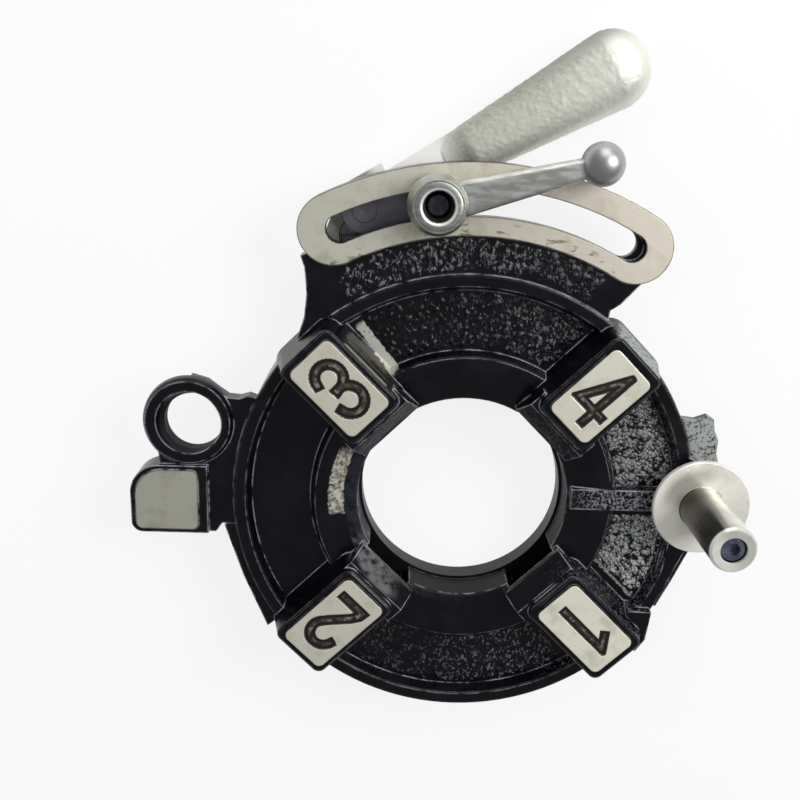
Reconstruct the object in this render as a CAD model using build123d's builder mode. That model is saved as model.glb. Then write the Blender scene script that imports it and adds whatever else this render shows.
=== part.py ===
"""Pipe threading die head, quick-opening, four die slots. Millimetres.

The bore axis is Z, the rear face of the body is Z = 0 and the numbered face looks up along +Z.
X runs from the bore through the mounting post, Y runs from the bore to the slotted quadrant.
"""
import os
from math import atan2, cos, degrees, radians, sin, tan

from build123d import *

os.makedirs("parts", exist_ok=True)

# Body casting.
body_height = 44.0        # rear face to the tops of the number pads
front_radius = 101.2      # outside of the ring near its front edge
rear_radius = 101.4       # outside of the ring at the rear face
rim_width = 6.0           # raised rim round the pockets
rim_height = 30.0
pocket_height = 24.0      # floors of the pockets
collar_radius = 66.0      # outside of the inner collar
collar_height = 29.5
throat_radius = 46.5      # bore of the casting between the dies
throat_height = 25.5      # front edge of the throat, under the sloping face of the collar
edge_round = 1.2          # rounding of the outer front edge
draft_angle = 12.0        # slope of the sides of the die bosses

recess_radius = 86.3      # rear recess that the cam plate turns in
recess_depth = 10.2
channel_inner = 52.0      # deeper ring channel that clears the cam ridges
channel_outer = 84.5
channel_depth = 14.4

boss_angles = (45.0, 135.0, 225.0, 315.0)
boss_top = 42.5
boss_inner = 54.5
boss_outer = (98.6, 98.6, 100.4, 100.6)
boss_offsets = (0.0, 0.0, -1.5, 1.8)  # sideways place of each boss on its die slot
boss_half_width = 14.0
boss_corner = 3.5
guide_radius = 45.6       # inner ends of the die guides
guide_half_width = 16.0
die_slot_width = 26.0
die_slot_top = 28.0
die_slot_end = 91.0

pad_starts = (57.4, 57.4, 56.6, 57.0)
pad_ends = (92.8, 95.4, 96.4, 97.0)
pad_width = 22.8
pad_corner = 3.0
pad_raise = 0.9

# Slotted quadrant.
flange_rear = 20.0
flange_front = 29.2
quadrant_front = 31.0
quadrant_radius = 131.5   # middle of the machined arc face
quadrant_width = 29.5
quadrant_start = 59.6
quadrant_end = 116.3
slot_inset = 1.0          # the slot runs a little inside the middle of the face
slot_radius = quadrant_radius - slot_inset
slot_width = 11.5
slot_start = 60.4
slot_rear_start = 62.0    # the rear half of the slot ends short of the front half
slot_end = 115.2
step_width = 18.0         # wider rear part of the slot for the stud's shoulder
step_depth = 3.5
window_start = 61.0       # opening in the rear rim for the arm of the cam plate
window_end = 142.0

# Lug, rest block, post boss.
lug_x = -120.2
lug_y = 33.4
lug_radius = 20.0         # widest, halfway up the lug
lug_front_radius = 18.3
lug_rear_radius = 18.5
lug_eye_radius = 12.6     # straight rear part of the eye
lug_eye_x = -118.3
lug_eye_y = 33.2
lug_mouth_radius = 14.2   # the eye widens to this at the front
lug_mouth_height = 26.0
lug_rear = 20.0
arm_height = 27.6         # web between the lug and the ring
rest_left = -146.3
rest_step = -112.3        # the full height of the rest block ends here
rest_bottom = -17.7
rest_top = 13.7
rest_corner = 13.0
rest_foot_corner = 5.0    # lower outer corner of the rest block
rest_pad_corner = 3.0
rest_pad_raise = 0.8
rest_rear = 17.0
post_x = 102.8
post_y = 3.4
post_boss_radius = 17.5
post_boss_height = 35.0
rib_width = 9.4
ear_height = 27.0
ear_rear = 23.5
cheek_height = 27.4       # flat side walls beside the rest block and under the post
cheek_inset = 2.5         # the wall under the post steps in above that
foot_height = 34.5        # outer foot of the die boss under the post

# Mounting post.
post_diameter = 19.05
post_length = 44.0
post_collar_diameter = 42.0
post_collar_thickness = 3.0
spigot_diameter = 15.9
spigot_length = 10.0
screw_diameter = 6.0
screw_head_diameter = 10.0
screw_head_height = 6.0
screw_head_bore = 10.8
screw_hole_rear = 6.0     # bottom of the threaded hole under the post
screw_end_gap = 1.0

# Cam plate and its clips.
cam_bore_radius = 45.2
cam_collar_radius = 50.5  # rear collar round the bore
cam_radius = 86.0
cam_rear = 3.2
cam_front = 10.0
ridge_top = 13.9
ridge_width = 6.0
ridge_inner = 58.0
ridge_rise = 18.0
ridge_sweep = 74.0
arm_front = 7.2
arm_radius = 11.0
clip_angles = (12.0, 170.0, 232.0, 308.0)
clip_width = 16.0
clip_inner = 82.8
clip_outer = 96.2
clip_rear = 0.3
clip_front = 3.1
clip_screw_radius = 91.6
clip_screw_diameter = 5.0
clip_screw_length = 11.0

# Throw-out lever and link.
stud_angle = 97.04        # where the clamp stud stands along the slot
lever_angle = 30.4        # direction of the handle
lever_offset = 11.045     # handle axis beyond the stud, square to the handle
link_length = 30.23
lever_crank = 12.0        # pivot to link pin
crank_angle = 75.0
lever_rear = 7.3
lever_front = 12.6
lever_boss_radius = 13.4  # round the pivot
block_half_width = 13.2
shoulder_reach = 15.2     # link pin to the squared shoulder of the lever
neck_half_width = 9.2
grip_start = 39.0         # link pin to the start of the grip
grip_centre = 114.8       # link pin to the centre of the round end
grip_half_width = 16.0
grip_half_thickness = 12.5
link_rear = 12.75
link_front = 19.75
link_eye_radius = 9.5
link_pin_diameter = 8.0
link_pin_clearance = 1.0
pivot_diameter = 10.0
pivot_head_diameter = 15.0
pivot_head_height = 2.6

# Clamp stud and lever.
stud_diameter = 10.9
stud_thread_diameter = 10.0
stud_top = 40.5
stud_foot = 15.15         # rear end of the stud, sunk into the link
stud_foot_height = 1.4
stud_journal_diameter = 8.0
washer_diameter = 24.0
washer_thickness = 1.6
hub_radius = 12.4
hub_top_radius = 10.4
hub_height = 15.4
hub_hole_diameter = 16.8
clamp_angle = 15.61
clamp_reach = 65.5
ball_radius = 8.7
arm_hub_width = 14.6
arm_ball_width = 7.8

running_gap = 0.3         # between curved faces that turn on one another


def polar(radius, angle):
    """Point at a radius and an angle in degrees from +X."""
    return (radius * cos(radians(angle)), radius * sin(radians(angle)))


def radial_plane(angle, height):
    """Plane square to Z at a height, with its own X pointing outward at the angle."""
    c, s = cos(radians(angle)), sin(radians(angle))
    return Plane(origin=(0, 0, height), x_dir=(c, s, 0), z_dir=(0, 0, 1))


def section_plane(angle):
    """Upright plane through the bore axis: its own X points outward, its own Y is +Z."""
    c, s = cos(radians(angle)), sin(radians(angle))
    return Plane(origin=(0, 0, 0), x_dir=(c, s, 0), z_dir=(s, -c, 0))


def sector(radius, start, end):
    """Corner points of a wedge that covers the angles from start to end."""
    steps = 6
    span = (end - start) / steps
    return [(0, 0)] + [polar(radius, start + span * i) for i in range(steps + 1)]


# Where the stud, the link pin and the lever's pivot stand.
stud_x, stud_y = polar(slot_radius, stud_angle)
lever_c, lever_s = cos(radians(lever_angle)), sin(radians(lever_angle))
along = (link_length ** 2 - lever_offset ** 2) ** 0.5
link_pin_x = stud_x - along * lever_c - lever_offset * lever_s
link_pin_y = stud_y - along * lever_s + lever_offset * lever_c
pivot_x = link_pin_x - lever_crank * cos(radians(crank_angle))
pivot_y = link_pin_y - lever_crank * sin(radians(crank_angle))
pivot_radius = (pivot_x ** 2 + pivot_y ** 2) ** 0.5
pivot_angle = degrees(atan2(pivot_y, pivot_x))

rim_inner = front_radius - rim_width
boss_base = pocket_height - 3.0
boss_rise = boss_top - boss_base
boss_spread = boss_rise * tan(radians(draft_angle))

# One-piece parts of the casting.
with BuildPart() as boss_blocks:
    for angle, outer, offset in zip(boss_angles, boss_outer, boss_offsets):
        with BuildSketch(radial_plane(angle, boss_base)):
            with Locations(((boss_inner + outer) / 2, offset)):
                RectangleRounded(
                    outer - boss_inner + 2 * boss_spread,
                    2 * boss_half_width + 2 * boss_spread,
                    boss_corner + boss_spread,
                )
        extrude(amount=boss_rise, taper=draft_angle)
    top_faces = boss_blocks.faces().filter_by(Axis.Z).group_by(Axis.Z)[-1]
    chamfer(top_faces.edges(), 0.7)
    with BuildSketch(Plane.XY):
        Circle(front_radius + boss_spread)
    extrude(amount=body_height, mode=Mode.INTERSECT)

quadrant_arc = CenterArc(
    (0, 0), quadrant_radius, quadrant_start, quadrant_end - quadrant_start
)
slot_arc = CenterArc((0, 0), slot_radius, slot_start, slot_end - slot_start)
slot_rear_arc = CenterArc((0, 0), slot_radius, slot_rear_start, slot_end - slot_rear_start)

# Body casting.
with BuildPart() as head_casting:
    # Ring with rim, pockets, inner collar, rear recess and ridge channel.
    with BuildSketch(Plane.XZ):
        with BuildLine():
            Polyline(
                (recess_radius, 0),
                (rear_radius, 0),
                (front_radius, rim_height - edge_round),
                (front_radius - edge_round * 0.3, rim_height - edge_round * 0.3),
                (front_radius - edge_round, rim_height),
                (rim_inner + 0.6, rim_height),
                (rim_inner, rim_height - 0.6),
                (rim_inner - 1.6, pocket_height),
                (collar_radius + 1.6, pocket_height),
                (collar_radius, collar_height - 0.8),
                (collar_radius - 0.8, collar_height),
                (collar_radius - 5.5, collar_height),
                (throat_radius + 3.5, throat_height + 1.5),
                (throat_radius, throat_height),
                (throat_radius, recess_depth),
                (channel_inner, recess_depth),
                (channel_inner, channel_depth),
                (channel_outer, channel_depth),
                (channel_outer, recess_depth),
                (recess_radius, recess_depth),
                close=True,
            )
        make_face()
    revolve(axis=Axis.Z)

    # Black web of the quadrant flange, and the machined arc face above it.
    with BuildSketch(Plane.XY.offset(flange_rear)):
        Polygon(
            polar(quadrant_radius - 3, quadrant_end + 7.6),
            polar(quadrant_radius - 8, quadrant_end + 8.2),
            polar(quadrant_radius - 17, quadrant_end + 10.8),
            polar(front_radius + 6, quadrant_end + 14.5),
            polar(front_radius + 1.8, quadrant_end + 18.5),
            polar(front_radius - 2, quadrant_end + 22),
            polar(front_radius - 12, 90),
            polar(front_radius - 3, quadrant_start - 6),
            polar(front_radius + 0.6, quadrant_start - 4.0),
            polar(front_radius + 3.5, quadrant_start - 3.2),
            polar(front_radius + 8, quadrant_start - 4.2),
            polar(quadrant_radius - 10, quadrant_start - 4.9),
            polar(quadrant_radius, quadrant_start),
            polar(quadrant_radius, (quadrant_start + quadrant_end) / 2),
            align=None,
        )
        Circle(rim_inner + 1, mode=Mode.SUBTRACT)
    extrude(amount=flange_front - flange_rear)
    with BuildSketch(Plane.XY.offset(flange_rear)):
        SlotArc(quadrant_arc, quadrant_width)
    extrude(amount=quadrant_front - flange_rear)
    with BuildSketch(Plane.XY.offset(flange_rear)):
        with BuildLine():
            Polyline(
                polar(rim_inner + 1, quadrant_start + 1),
                polar(quadrant_radius, quadrant_start + 1),
                polar(quadrant_radius * 1.02, (quadrant_start + quadrant_end) / 2),
                polar(quadrant_radius, quadrant_end - 1),
                polar(rim_inner + 1, quadrant_end - 1),
                polar(rim_inner + 5, (quadrant_start + quadrant_end) / 2),
                close=True,
            )
        make_face()
        Circle(rim_inner + 1, mode=Mode.SUBTRACT)
    extrude(amount=flange_front - flange_rear)

    # Lug with its eye, the lower web that joins it to the ring, and the rest block under it.
    with BuildSketch(Plane(origin=(lug_x, lug_y, 0), x_dir=(1, 0, 0), z_dir=(0, -1, 0))):
        Polygon(
            (0, lug_rear),
            (lug_rear_radius, lug_rear),
            (lug_radius, (lug_rear + rim_height) / 2),
            (lug_radius - 0.4, rim_height - 2.0),
            (lug_front_radius, rim_height),
            (0, rim_height),
            align=None,
        )
    revolve(axis=Axis((lug_x, lug_y, 0), (0, 0, 1)))
    with BuildSketch(Plane.XY.offset(lug_rear)):
        Polygon(
            (lug_x + 1, lug_y + lug_radius - 0.2),
            (lug_x + 8, lug_y + lug_radius - 2.2),
            (lug_x + 13, lug_y + lug_radius - 6.0),
            (lug_x + 17, lug_y + lug_radius - 8.8),
            (lug_x + 22, lug_y + lug_radius - 9.2),
            (lug_x + 26, lug_y + lug_radius - 8.0),
            (lug_x + 38, lug_y + lug_radius - 12),
            (-rim_inner + 0.5, rest_bottom + 4),
            (rest_left + 14, rest_bottom + 4),
            (rest_left + 13, rest_top - 4),
            (lug_x - 13.5, rest_top + 4.5),
            (lug_x - 14.0, lug_y - 12),
            align=None,
        )
        Circle(rim_inner + 1, mode=Mode.SUBTRACT)
    extrude(amount=arm_height - lug_rear)
    with BuildSketch(Plane.XY.offset(rest_rear)):
        with Locations(((rest_left + rest_step) / 2, (rest_bottom + rest_top) / 2)):
            Rectangle(rest_step - rest_left, rest_top - rest_bottom)
        with Locations((rest_left + rest_corner / 2, rest_top - rest_corner / 2)):
            Rectangle(rest_corner, rest_corner, mode=Mode.SUBTRACT)
        with Locations((rest_left + rest_corner, rest_top - rest_corner)):
            Circle(rest_corner)
        with Locations((rest_left + rest_foot_corner / 2, rest_bottom + rest_foot_corner / 2)):
            Rectangle(rest_foot_corner, rest_foot_corner, mode=Mode.SUBTRACT)
        with Locations((rest_left + rest_foot_corner, rest_bottom + rest_foot_corner)):
            Circle(rest_foot_corner)
    extrude(amount=rim_height - rest_rear)
    with BuildSketch(Plane.XY.offset(rest_rear)):
        Polygon(
            (rest_step - 1, rest_top),
            (rest_step - 1, rest_bottom),
            (-rear_radius - 8, rest_bottom),
            (-rear_radius - 5, rest_bottom + 4),
            (-rear_radius + 4, rest_bottom + 4),
            (-rear_radius + 4, rest_top),
            align=None,
        )
        Circle(recess_radius + 4, mode=Mode.SUBTRACT)
    extrude(amount=arm_height - rest_rear)
    with BuildSketch(Plane.XY):
        Polygon(
            (-rear_radius + 3, rest_bottom + 10),
            (-rear_radius - 4.2, rest_bottom + 3.0),
            (-rear_radius + 3.9, rest_bottom - 21.3),
            (-rear_radius + 14.6, rest_bottom - 46.4),
            (-rear_radius + 20.0, rest_bottom - 42.0),
            align=None,
        )
        Circle(recess_radius + 4, mode=Mode.SUBTRACT)
    extrude(amount=cheek_height)
    with BuildSketch(Plane.XY.offset(rim_height)):
        pad_x = rest_left + 2.2
        pad_right = lug_x + 3.7
        pad_y = rest_bottom + 1.8
        pad_top = rest_top - 1.9
        with Locations(((pad_x + pad_right) / 2, (pad_y + pad_top) / 2)):
            RectangleRounded(pad_right - pad_x, pad_top - pad_y, rest_pad_corner)
        with Locations((pad_x + 6, pad_top - 6)):
            Rectangle(12, 12, mode=Mode.SUBTRACT)
        with Locations((pad_x + 12, pad_top - 12)):
            Circle(12)
    extrude(amount=rest_pad_raise)

    # Boss for the mounting post, its side walls, the rib to the bore and the rough ear.
    with BuildSketch(Plane.XY):
        with Locations((post_x, post_y)):
            Circle(post_boss_radius)
        Polygon(
            (post_x + 3, post_y + 17.2),
            polar(front_radius - 2, 14),
            (post_x - 10, post_y - 17.2),
            (post_x + 3 - cheek_inset, post_y - 17.2),
            align=None,
        )
        Polygon(
            (post_x - 10, post_y - 17.2),
            (post_x - 14.5, post_y - 49.6),
            (post_x - 6.4 - cheek_inset, post_y - 38.6),
            (post_x - 0.4 - cheek_inset, post_y - 24.6),
            (post_x + 3 - cheek_inset, post_y - 16.4),
            align=None,
        )
        Circle(recess_radius + 4, mode=Mode.SUBTRACT)
    extrude(amount=rim_height)
    with BuildSketch(Plane.XY):
        Polygon(
            (post_x - 16.5, post_y - 49.0),
            (post_x - 12.5, post_y - 52.9),
            (post_x - 6.4, post_y - 39.8),
            (post_x - 0.4, post_y - 25.6),
            (post_x + 3, post_y - 16.4),
            (post_x - 10, post_y - 10),
            align=None,
        )
        Circle(recess_radius + 4, mode=Mode.SUBTRACT)
    extrude(amount=cheek_height)
    with BuildSketch(Plane.XY):
        Polygon(
            (post_x - 15.9, post_y - 52.4),
            (post_x - 16.4, post_y - 57.0),
            (post_x - 17.5, post_y - 66.2),
            (post_x - 21.5, post_y - 71.9),
            (post_x - 32.0, post_y - 68.0),
            (post_x - 26.0, post_y - 52.0),
            align=None,
        )
        Circle(recess_radius + 4, mode=Mode.SUBTRACT)
    extrude(amount=foot_height)
    with BuildSketch(Plane.XY.offset(rim_height)):
        with Locations((post_x, post_y)):
            Circle(post_boss_radius)
    extrude(amount=post_boss_height - rim_height, taper=4)
    with BuildSketch(Plane.XY.offset(channel_depth + 2)):
        with Locations(((throat_radius + post_x - 8) / 2, post_y - 0.6)):
            Rectangle(post_x - 10 - throat_radius, rib_width)
    extrude(amount=rim_height - channel_depth - 2)
    with BuildSketch(Plane.XY.offset(ear_rear)):
        Polygon(
            polar(front_radius - 3, 25),
            (post_x - 8.3, post_y + 37.2),
            (post_x - 3.6, post_y + 36.7),
            (post_x + 1.5, post_y + 38.6),
            (post_x + 4.4, post_y + 36.9),
            (post_x + 5.3, post_y + 32.0),
            (post_x + 7.5, post_y + 27.2),
            (post_x + 7.2, post_y + 21.5),
            (post_x + 9.3, post_y + 14.4),
            (post_x + 7.0, post_y + 9.8),
            polar(front_radius - 4, 9),
            align=None,
        )
    extrude(amount=ear_height - ear_rear)

    # Four die bosses, their inner guides and the machined number pads.
    add(boss_blocks.part)
    for angle, offset, start, end in zip(boss_angles, boss_offsets, pad_starts, pad_ends):
        with BuildSketch(section_plane(angle)):
            Polygon(
                (guide_radius, recess_depth + 0.8),
                (guide_radius, die_slot_top + 3.0),
                (boss_inner - 2.0, boss_top - 3.2),
                (boss_inner + 6, boss_top - 3.2),
                (boss_inner + 6, recess_depth + 0.8),
                align=None,
            )
        extrude(amount=guide_half_width, both=True)
        with BuildSketch(radial_plane(angle, boss_top)):
            with Locations(((start + end) / 2, offset)):
                RectangleRounded(end - start, pad_width, pad_corner)
        extrude(amount=pad_raise)

    # Rear: ridge channel through the guides, die slots, arm window, clip pockets.
    with BuildSketch(Plane.XY):
        Circle(channel_outer)
        Circle(channel_inner, mode=Mode.SUBTRACT)
    extrude(amount=channel_depth, mode=Mode.SUBTRACT)
    for angle in boss_angles:
        with BuildSketch(radial_plane(angle, 0)):
            with Locations(((guide_radius - 4 + die_slot_end) / 2, 0)):
                Rectangle(die_slot_end - guide_radius + 4, die_slot_width)
            Circle(recess_radius - 1, mode=Mode.INTERSECT)
        extrude(amount=die_slot_top, mode=Mode.SUBTRACT)
        with BuildSketch(radial_plane(angle, recess_depth)):
            with Locations(((recess_radius - 6 + die_slot_end) / 2, 0)):
                Rectangle(die_slot_end - recess_radius + 6, die_slot_width)
        extrude(amount=die_slot_top - recess_depth, mode=Mode.SUBTRACT)
    with BuildSketch(Plane.XY.offset(-1)):
        Circle(front_radius + 8)
        Circle(recess_radius - 2, mode=Mode.SUBTRACT)
        Polygon(*sector(2 * front_radius, window_start, window_end), align=None,
                mode=Mode.INTERSECT)
    extrude(amount=recess_depth + 1, mode=Mode.SUBTRACT)
    for angle in clip_angles:
        with BuildSketch(radial_plane(angle, -1)):
            with Locations(((clip_inner + clip_outer) / 2, 0)):
                Rectangle(clip_outer - clip_inner + 0.6, clip_width + 0.6)
        extrude(amount=clip_front + 1, mode=Mode.SUBTRACT)
        with BuildSketch(radial_plane(angle, clip_front - 1)):
            with Locations((clip_screw_radius, 0)):
                Circle(clip_screw_diameter / 2)
        extrude(amount=clip_screw_length + 1, mode=Mode.SUBTRACT)

    # Slot of the quadrant with its wider rear step, lug eye, post bore and screw hole.
    with BuildSketch(Plane.XY.offset(flange_rear - 1)):
        SlotArc(slot_rear_arc, slot_width)
    extrude(amount=quadrant_front - flange_rear + 2, mode=Mode.SUBTRACT)
    with BuildSketch(Plane.XY.offset((flange_rear + quadrant_front) / 2)):
        SlotArc(slot_arc, slot_width)
    extrude(amount=quadrant_front - flange_rear, mode=Mode.SUBTRACT)
    with BuildSketch(Plane.XY.offset(flange_rear - 1)):
        SlotArc(slot_rear_arc, step_width)
    extrude(amount=step_depth + 1, mode=Mode.SUBTRACT)
    with BuildSketch(Plane.XY.offset(lug_rear - 1)):
        with Locations((lug_eye_x, lug_eye_y)):
            Circle(lug_eye_radius)
    extrude(amount=rim_height - lug_rear + 2, mode=Mode.SUBTRACT)
    with BuildSketch(Plane.XY.offset(lug_mouth_height)):
        with Locations((lug_eye_x, lug_eye_y)):
            Circle(lug_eye_radius)
    with BuildSketch(Plane.XY.offset(rim_height + 0.5)):
        with Locations((lug_x, lug_y)):
            Circle(lug_mouth_radius)
    loft(mode=Mode.SUBTRACT)
    with BuildSketch(Plane.XY.offset(post_boss_height - spigot_length - 0.5)):
        with Locations((post_x, post_y)):
            Circle(spigot_diameter / 2)
    extrude(amount=spigot_length + 1.5, mode=Mode.SUBTRACT)
    with BuildSketch(Plane.XY.offset(screw_hole_rear)):
        with Locations((post_x, post_y)):
            Circle(screw_diameter / 2)
    extrude(amount=post_boss_height - spigot_length - screw_hole_rear, mode=Mode.SUBTRACT)

head_casting.part.label = "head_casting"
export_step(head_casting.part, "parts/head_casting.step")

# Mounting post.
post_seat = post_boss_height
post_end = post_seat + post_collar_thickness + post_length
screw_seat = post_end - 1.0 - screw_head_height
with BuildPart() as mounting_post:
    with BuildSketch(Plane.XY.offset(post_seat)):
        with Locations((post_x, post_y)):
            Circle(post_collar_diameter / 2)
    extrude(amount=post_collar_thickness)
    chamfer(mounting_post.edges().filter_by(GeomType.CIRCLE), 0.4)
    with BuildSketch(Plane.XY.offset(post_seat + post_collar_thickness)):
        with Locations((post_x, post_y)):
            Circle(post_diameter / 2)
    extrude(amount=post_length)
    chamfer(mounting_post.faces().sort_by(Axis.Z)[-1].edges(), 1.0)
    with BuildSketch(Plane.XY.offset(post_seat - spigot_length)):
        with Locations((post_x, post_y)):
            Circle(spigot_diameter / 2)
    extrude(amount=spigot_length)
    with BuildSketch(Plane.XY.offset(post_seat - spigot_length - 1)):
        with Locations((post_x, post_y)):
            Circle(screw_diameter / 2 + 0.3)
    extrude(amount=post_length + spigot_length + 10, mode=Mode.SUBTRACT)
    with BuildSketch(Plane.XY.offset(screw_seat)):
        with Locations((post_x, post_y)):
            Circle(screw_head_bore / 2)
    extrude(amount=screw_head_height + 2, mode=Mode.SUBTRACT)

mounting_post.part.label = "mounting_post"
export_step(mounting_post.part, "parts/mounting_post.step")

with BuildPart() as post_screw:
    with BuildSketch(Plane.XY.offset(screw_hole_rear + screw_end_gap)):
        with Locations((post_x, post_y)):
            Circle(screw_diameter / 2)
    extrude(amount=screw_seat - screw_hole_rear - screw_end_gap)
    with BuildSketch(Plane.XY.offset(screw_seat)):
        with Locations((post_x, post_y)):
            Circle(screw_head_diameter / 2)
    extrude(amount=screw_head_height)
    chamfer(post_screw.faces().sort_by(Axis.Z)[-1].edges(), 0.6)
    with BuildSketch(Plane.XY.offset(screw_seat + screw_head_height * 0.5)):
        with Locations((post_x, post_y)):
            RegularPolygon(screw_head_diameter * 0.29, 6)
    extrude(amount=screw_head_height, mode=Mode.SUBTRACT)

post_screw.part.label = "post_screw"
export_step(post_screw.part, "parts/post_screw.step")

# Cam plate.
with BuildPart() as cam_plate:
    with BuildSketch(Plane.XY.offset(cam_rear)):
        Circle(cam_radius)
        Circle(cam_bore_radius, mode=Mode.SUBTRACT)
    extrude(amount=cam_front - cam_rear)
    with BuildSketch(Plane.XY):
        Circle(cam_collar_radius)
        Circle(cam_bore_radius, mode=Mode.SUBTRACT)
    extrude(amount=cam_rear)
    outer_edges = cam_plate.edges().filter_by(GeomType.CIRCLE)
    chamfer(outer_edges.filter_by(lambda edge: edge.radius > cam_radius - 0.1), 0.6)
    for quarter in range(4):
        count = 12
        outer_side = []
        inner_side = []
        for i in range(count + 1):
            part_way = i / count
            centre = ridge_inner + ridge_rise * part_way
            turn = pivot_angle + 45 + 90 * quarter - ridge_sweep * part_way
            outer_side.append(polar(centre + ridge_width / 2, turn))
            inner_side.append(polar(centre - ridge_width / 2, turn))
        with BuildSketch(Plane.XY.offset(cam_front)):
            Polygon(*outer_side, *reversed(inner_side), align=None)
        extrude(amount=ridge_top - cam_front)
    # Arm that reaches out through the window to the lever's pivot.
    with BuildSketch(Plane.XY.offset(cam_rear)):
        with Locations((pivot_x, pivot_y)):
            Circle(arm_radius)
        Polygon(
            polar(cam_radius - 3, pivot_angle - 9.5),
            polar(pivot_radius, pivot_angle - degrees(arm_radius / pivot_radius) * 0.97),
            polar(pivot_radius, pivot_angle + degrees(arm_radius / pivot_radius) * 0.97),
            polar(cam_radius - 3, pivot_angle + 9.5),
            align=None,
        )
    extrude(amount=arm_front - cam_rear)
    with BuildSketch(Plane.XY.offset(cam_rear - 1)):
        with Locations((pivot_x, pivot_y)):
            Circle(pivot_diameter / 2 - 1)
    extrude(amount=arm_front - cam_rear + 2, mode=Mode.SUBTRACT)

cam_plate.part.label = "cam_plate"
export_step(cam_plate.part, "parts/cam_plate.step")

# Clips that hold the cam plate.
with BuildPart() as cam_clips:
    for angle in clip_angles:
        with BuildSketch(radial_plane(angle, clip_rear)):
            with Locations(((clip_inner + clip_outer) / 2, 0)):
                RectangleRounded(clip_outer - clip_inner, clip_width, 1.5)
            with Locations((clip_screw_radius, 0)):
                Circle(clip_screw_diameter / 2 + 0.2, mode=Mode.SUBTRACT)
        extrude(amount=clip_front - clip_rear)
        with Locations(Location((*polar(clip_screw_radius, angle), clip_rear + 1.1))):
            Cone(clip_screw_diameter * 0.96, clip_screw_diameter / 2 + 0.2, 2.2,
                 mode=Mode.SUBTRACT)

cam_clips.part.label = "cam_clips"
export_step(cam_clips.part, "parts/cam_clips.step")

with BuildPart() as clip_screws:
    for angle in clip_angles:
        centre = polar(clip_screw_radius, angle)
        with BuildSketch(Plane.XY.offset(clip_rear + 0.1)):
            with Locations(centre):
                Circle(clip_screw_diameter / 2)
        extrude(amount=clip_screw_length)
        with Locations(Location((*centre, clip_rear + 1.1))):
            Cone(clip_screw_diameter * 0.94, clip_screw_diameter / 2, 2.1)
        with BuildSketch(Plane.XY.offset(clip_rear)):
            with Locations(centre):
                Rectangle(clip_screw_diameter * 2, 1.0)
        extrude(amount=0.9, mode=Mode.SUBTRACT)

clip_screws.part.label = "clip_screws"
export_step(clip_screws.part, "parts/clip_screws.step")

# Throw-out lever.


def lever_plane(distance, height):
    """Plane square to the handle at a distance from the link pin, its own Y is +Z."""
    origin = (link_pin_x + distance * lever_c, link_pin_y + distance * lever_s, height)
    return Plane(origin=origin, x_dir=(-lever_s, lever_c, 0), z_dir=(lever_c, lever_s, 0))


lever_flat = Plane(
    origin=(link_pin_x, link_pin_y, lever_rear), x_dir=(lever_c, lever_s, 0), z_dir=(0, 0, 1)
)
flat_middle = (lever_rear + lever_front) / 2
grip_end = scale(Sphere(grip_half_width), by=(1, 1, grip_half_thickness / grip_half_width))
with BuildPart() as throwout_lever:
    with BuildSketch(lever_flat):
        Circle(block_half_width)
        with Locations((shoulder_reach / 2, 0)):
            Rectangle(shoulder_reach, 2 * block_half_width)
        Polygon(
            (shoulder_reach - 2, neck_half_width),
            (shoulder_reach - 2, -neck_half_width),
            (grip_start + 16, -neck_half_width - 1.2),
            (grip_start + 16, neck_half_width + 1.2),
            align=None,
        )
    extrude(amount=lever_front - lever_rear)
    with BuildSketch(Plane.XY.offset(lever_rear)):
        with Locations((pivot_x, pivot_y)):
            Circle(lever_boss_radius)
        with Locations((link_pin_x, link_pin_y)):
            Circle(block_half_width - 0.8)
        make_hull()
    extrude(amount=lever_front - lever_rear)
    with BuildSketch(lever_plane(grip_start, flat_middle)):
        Ellipse(neck_half_width + 0.3, 3.2)
    with BuildSketch(lever_plane(grip_start + 12, 12.0)):
        Ellipse(neck_half_width + 1.4, grip_half_thickness * 0.52)
    loft()
    with BuildSketch(lever_plane(grip_start + 12, 12.0)):
        Ellipse(neck_half_width + 1.4, grip_half_thickness * 0.52)
    with BuildSketch(lever_plane(grip_centre, grip_half_thickness + 0.5)):
        Ellipse(grip_half_width, grip_half_thickness)
    loft(ruled=True)
    with Locations(Location(
        (
            link_pin_x + grip_centre * lever_c,
            link_pin_y + grip_centre * lever_s,
            grip_half_thickness + 0.5,
        ),
        (0, 0, lever_angle),
    )):
        add(grip_end)
    # Pivot bore with the flush seat for the screw head, and the link pin's hole.
    with BuildSketch(Plane.XY.offset(lever_rear - 1)):
        with Locations((pivot_x, pivot_y)):
            Circle(pivot_diameter / 2 + running_gap)
    extrude(amount=lever_front - lever_rear + 2, mode=Mode.SUBTRACT)
    with BuildSketch(Plane.XY.offset(lever_front - pivot_head_height - 0.3)):
        with Locations((pivot_x, pivot_y)):
            Circle(pivot_head_diameter / 2 + running_gap)
    extrude(amount=pivot_head_height + 1, mode=Mode.SUBTRACT)
    with BuildSketch(Plane.XY.offset(lever_rear - 1)):
        with Locations((link_pin_x, link_pin_y)):
            Circle(link_pin_diameter / 2)
    extrude(amount=lever_front - lever_rear + 2, mode=Mode.SUBTRACT)

throwout_lever.part.label = "throwout_lever"
export_step(throwout_lever.part, "parts/throwout_lever.step")

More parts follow.
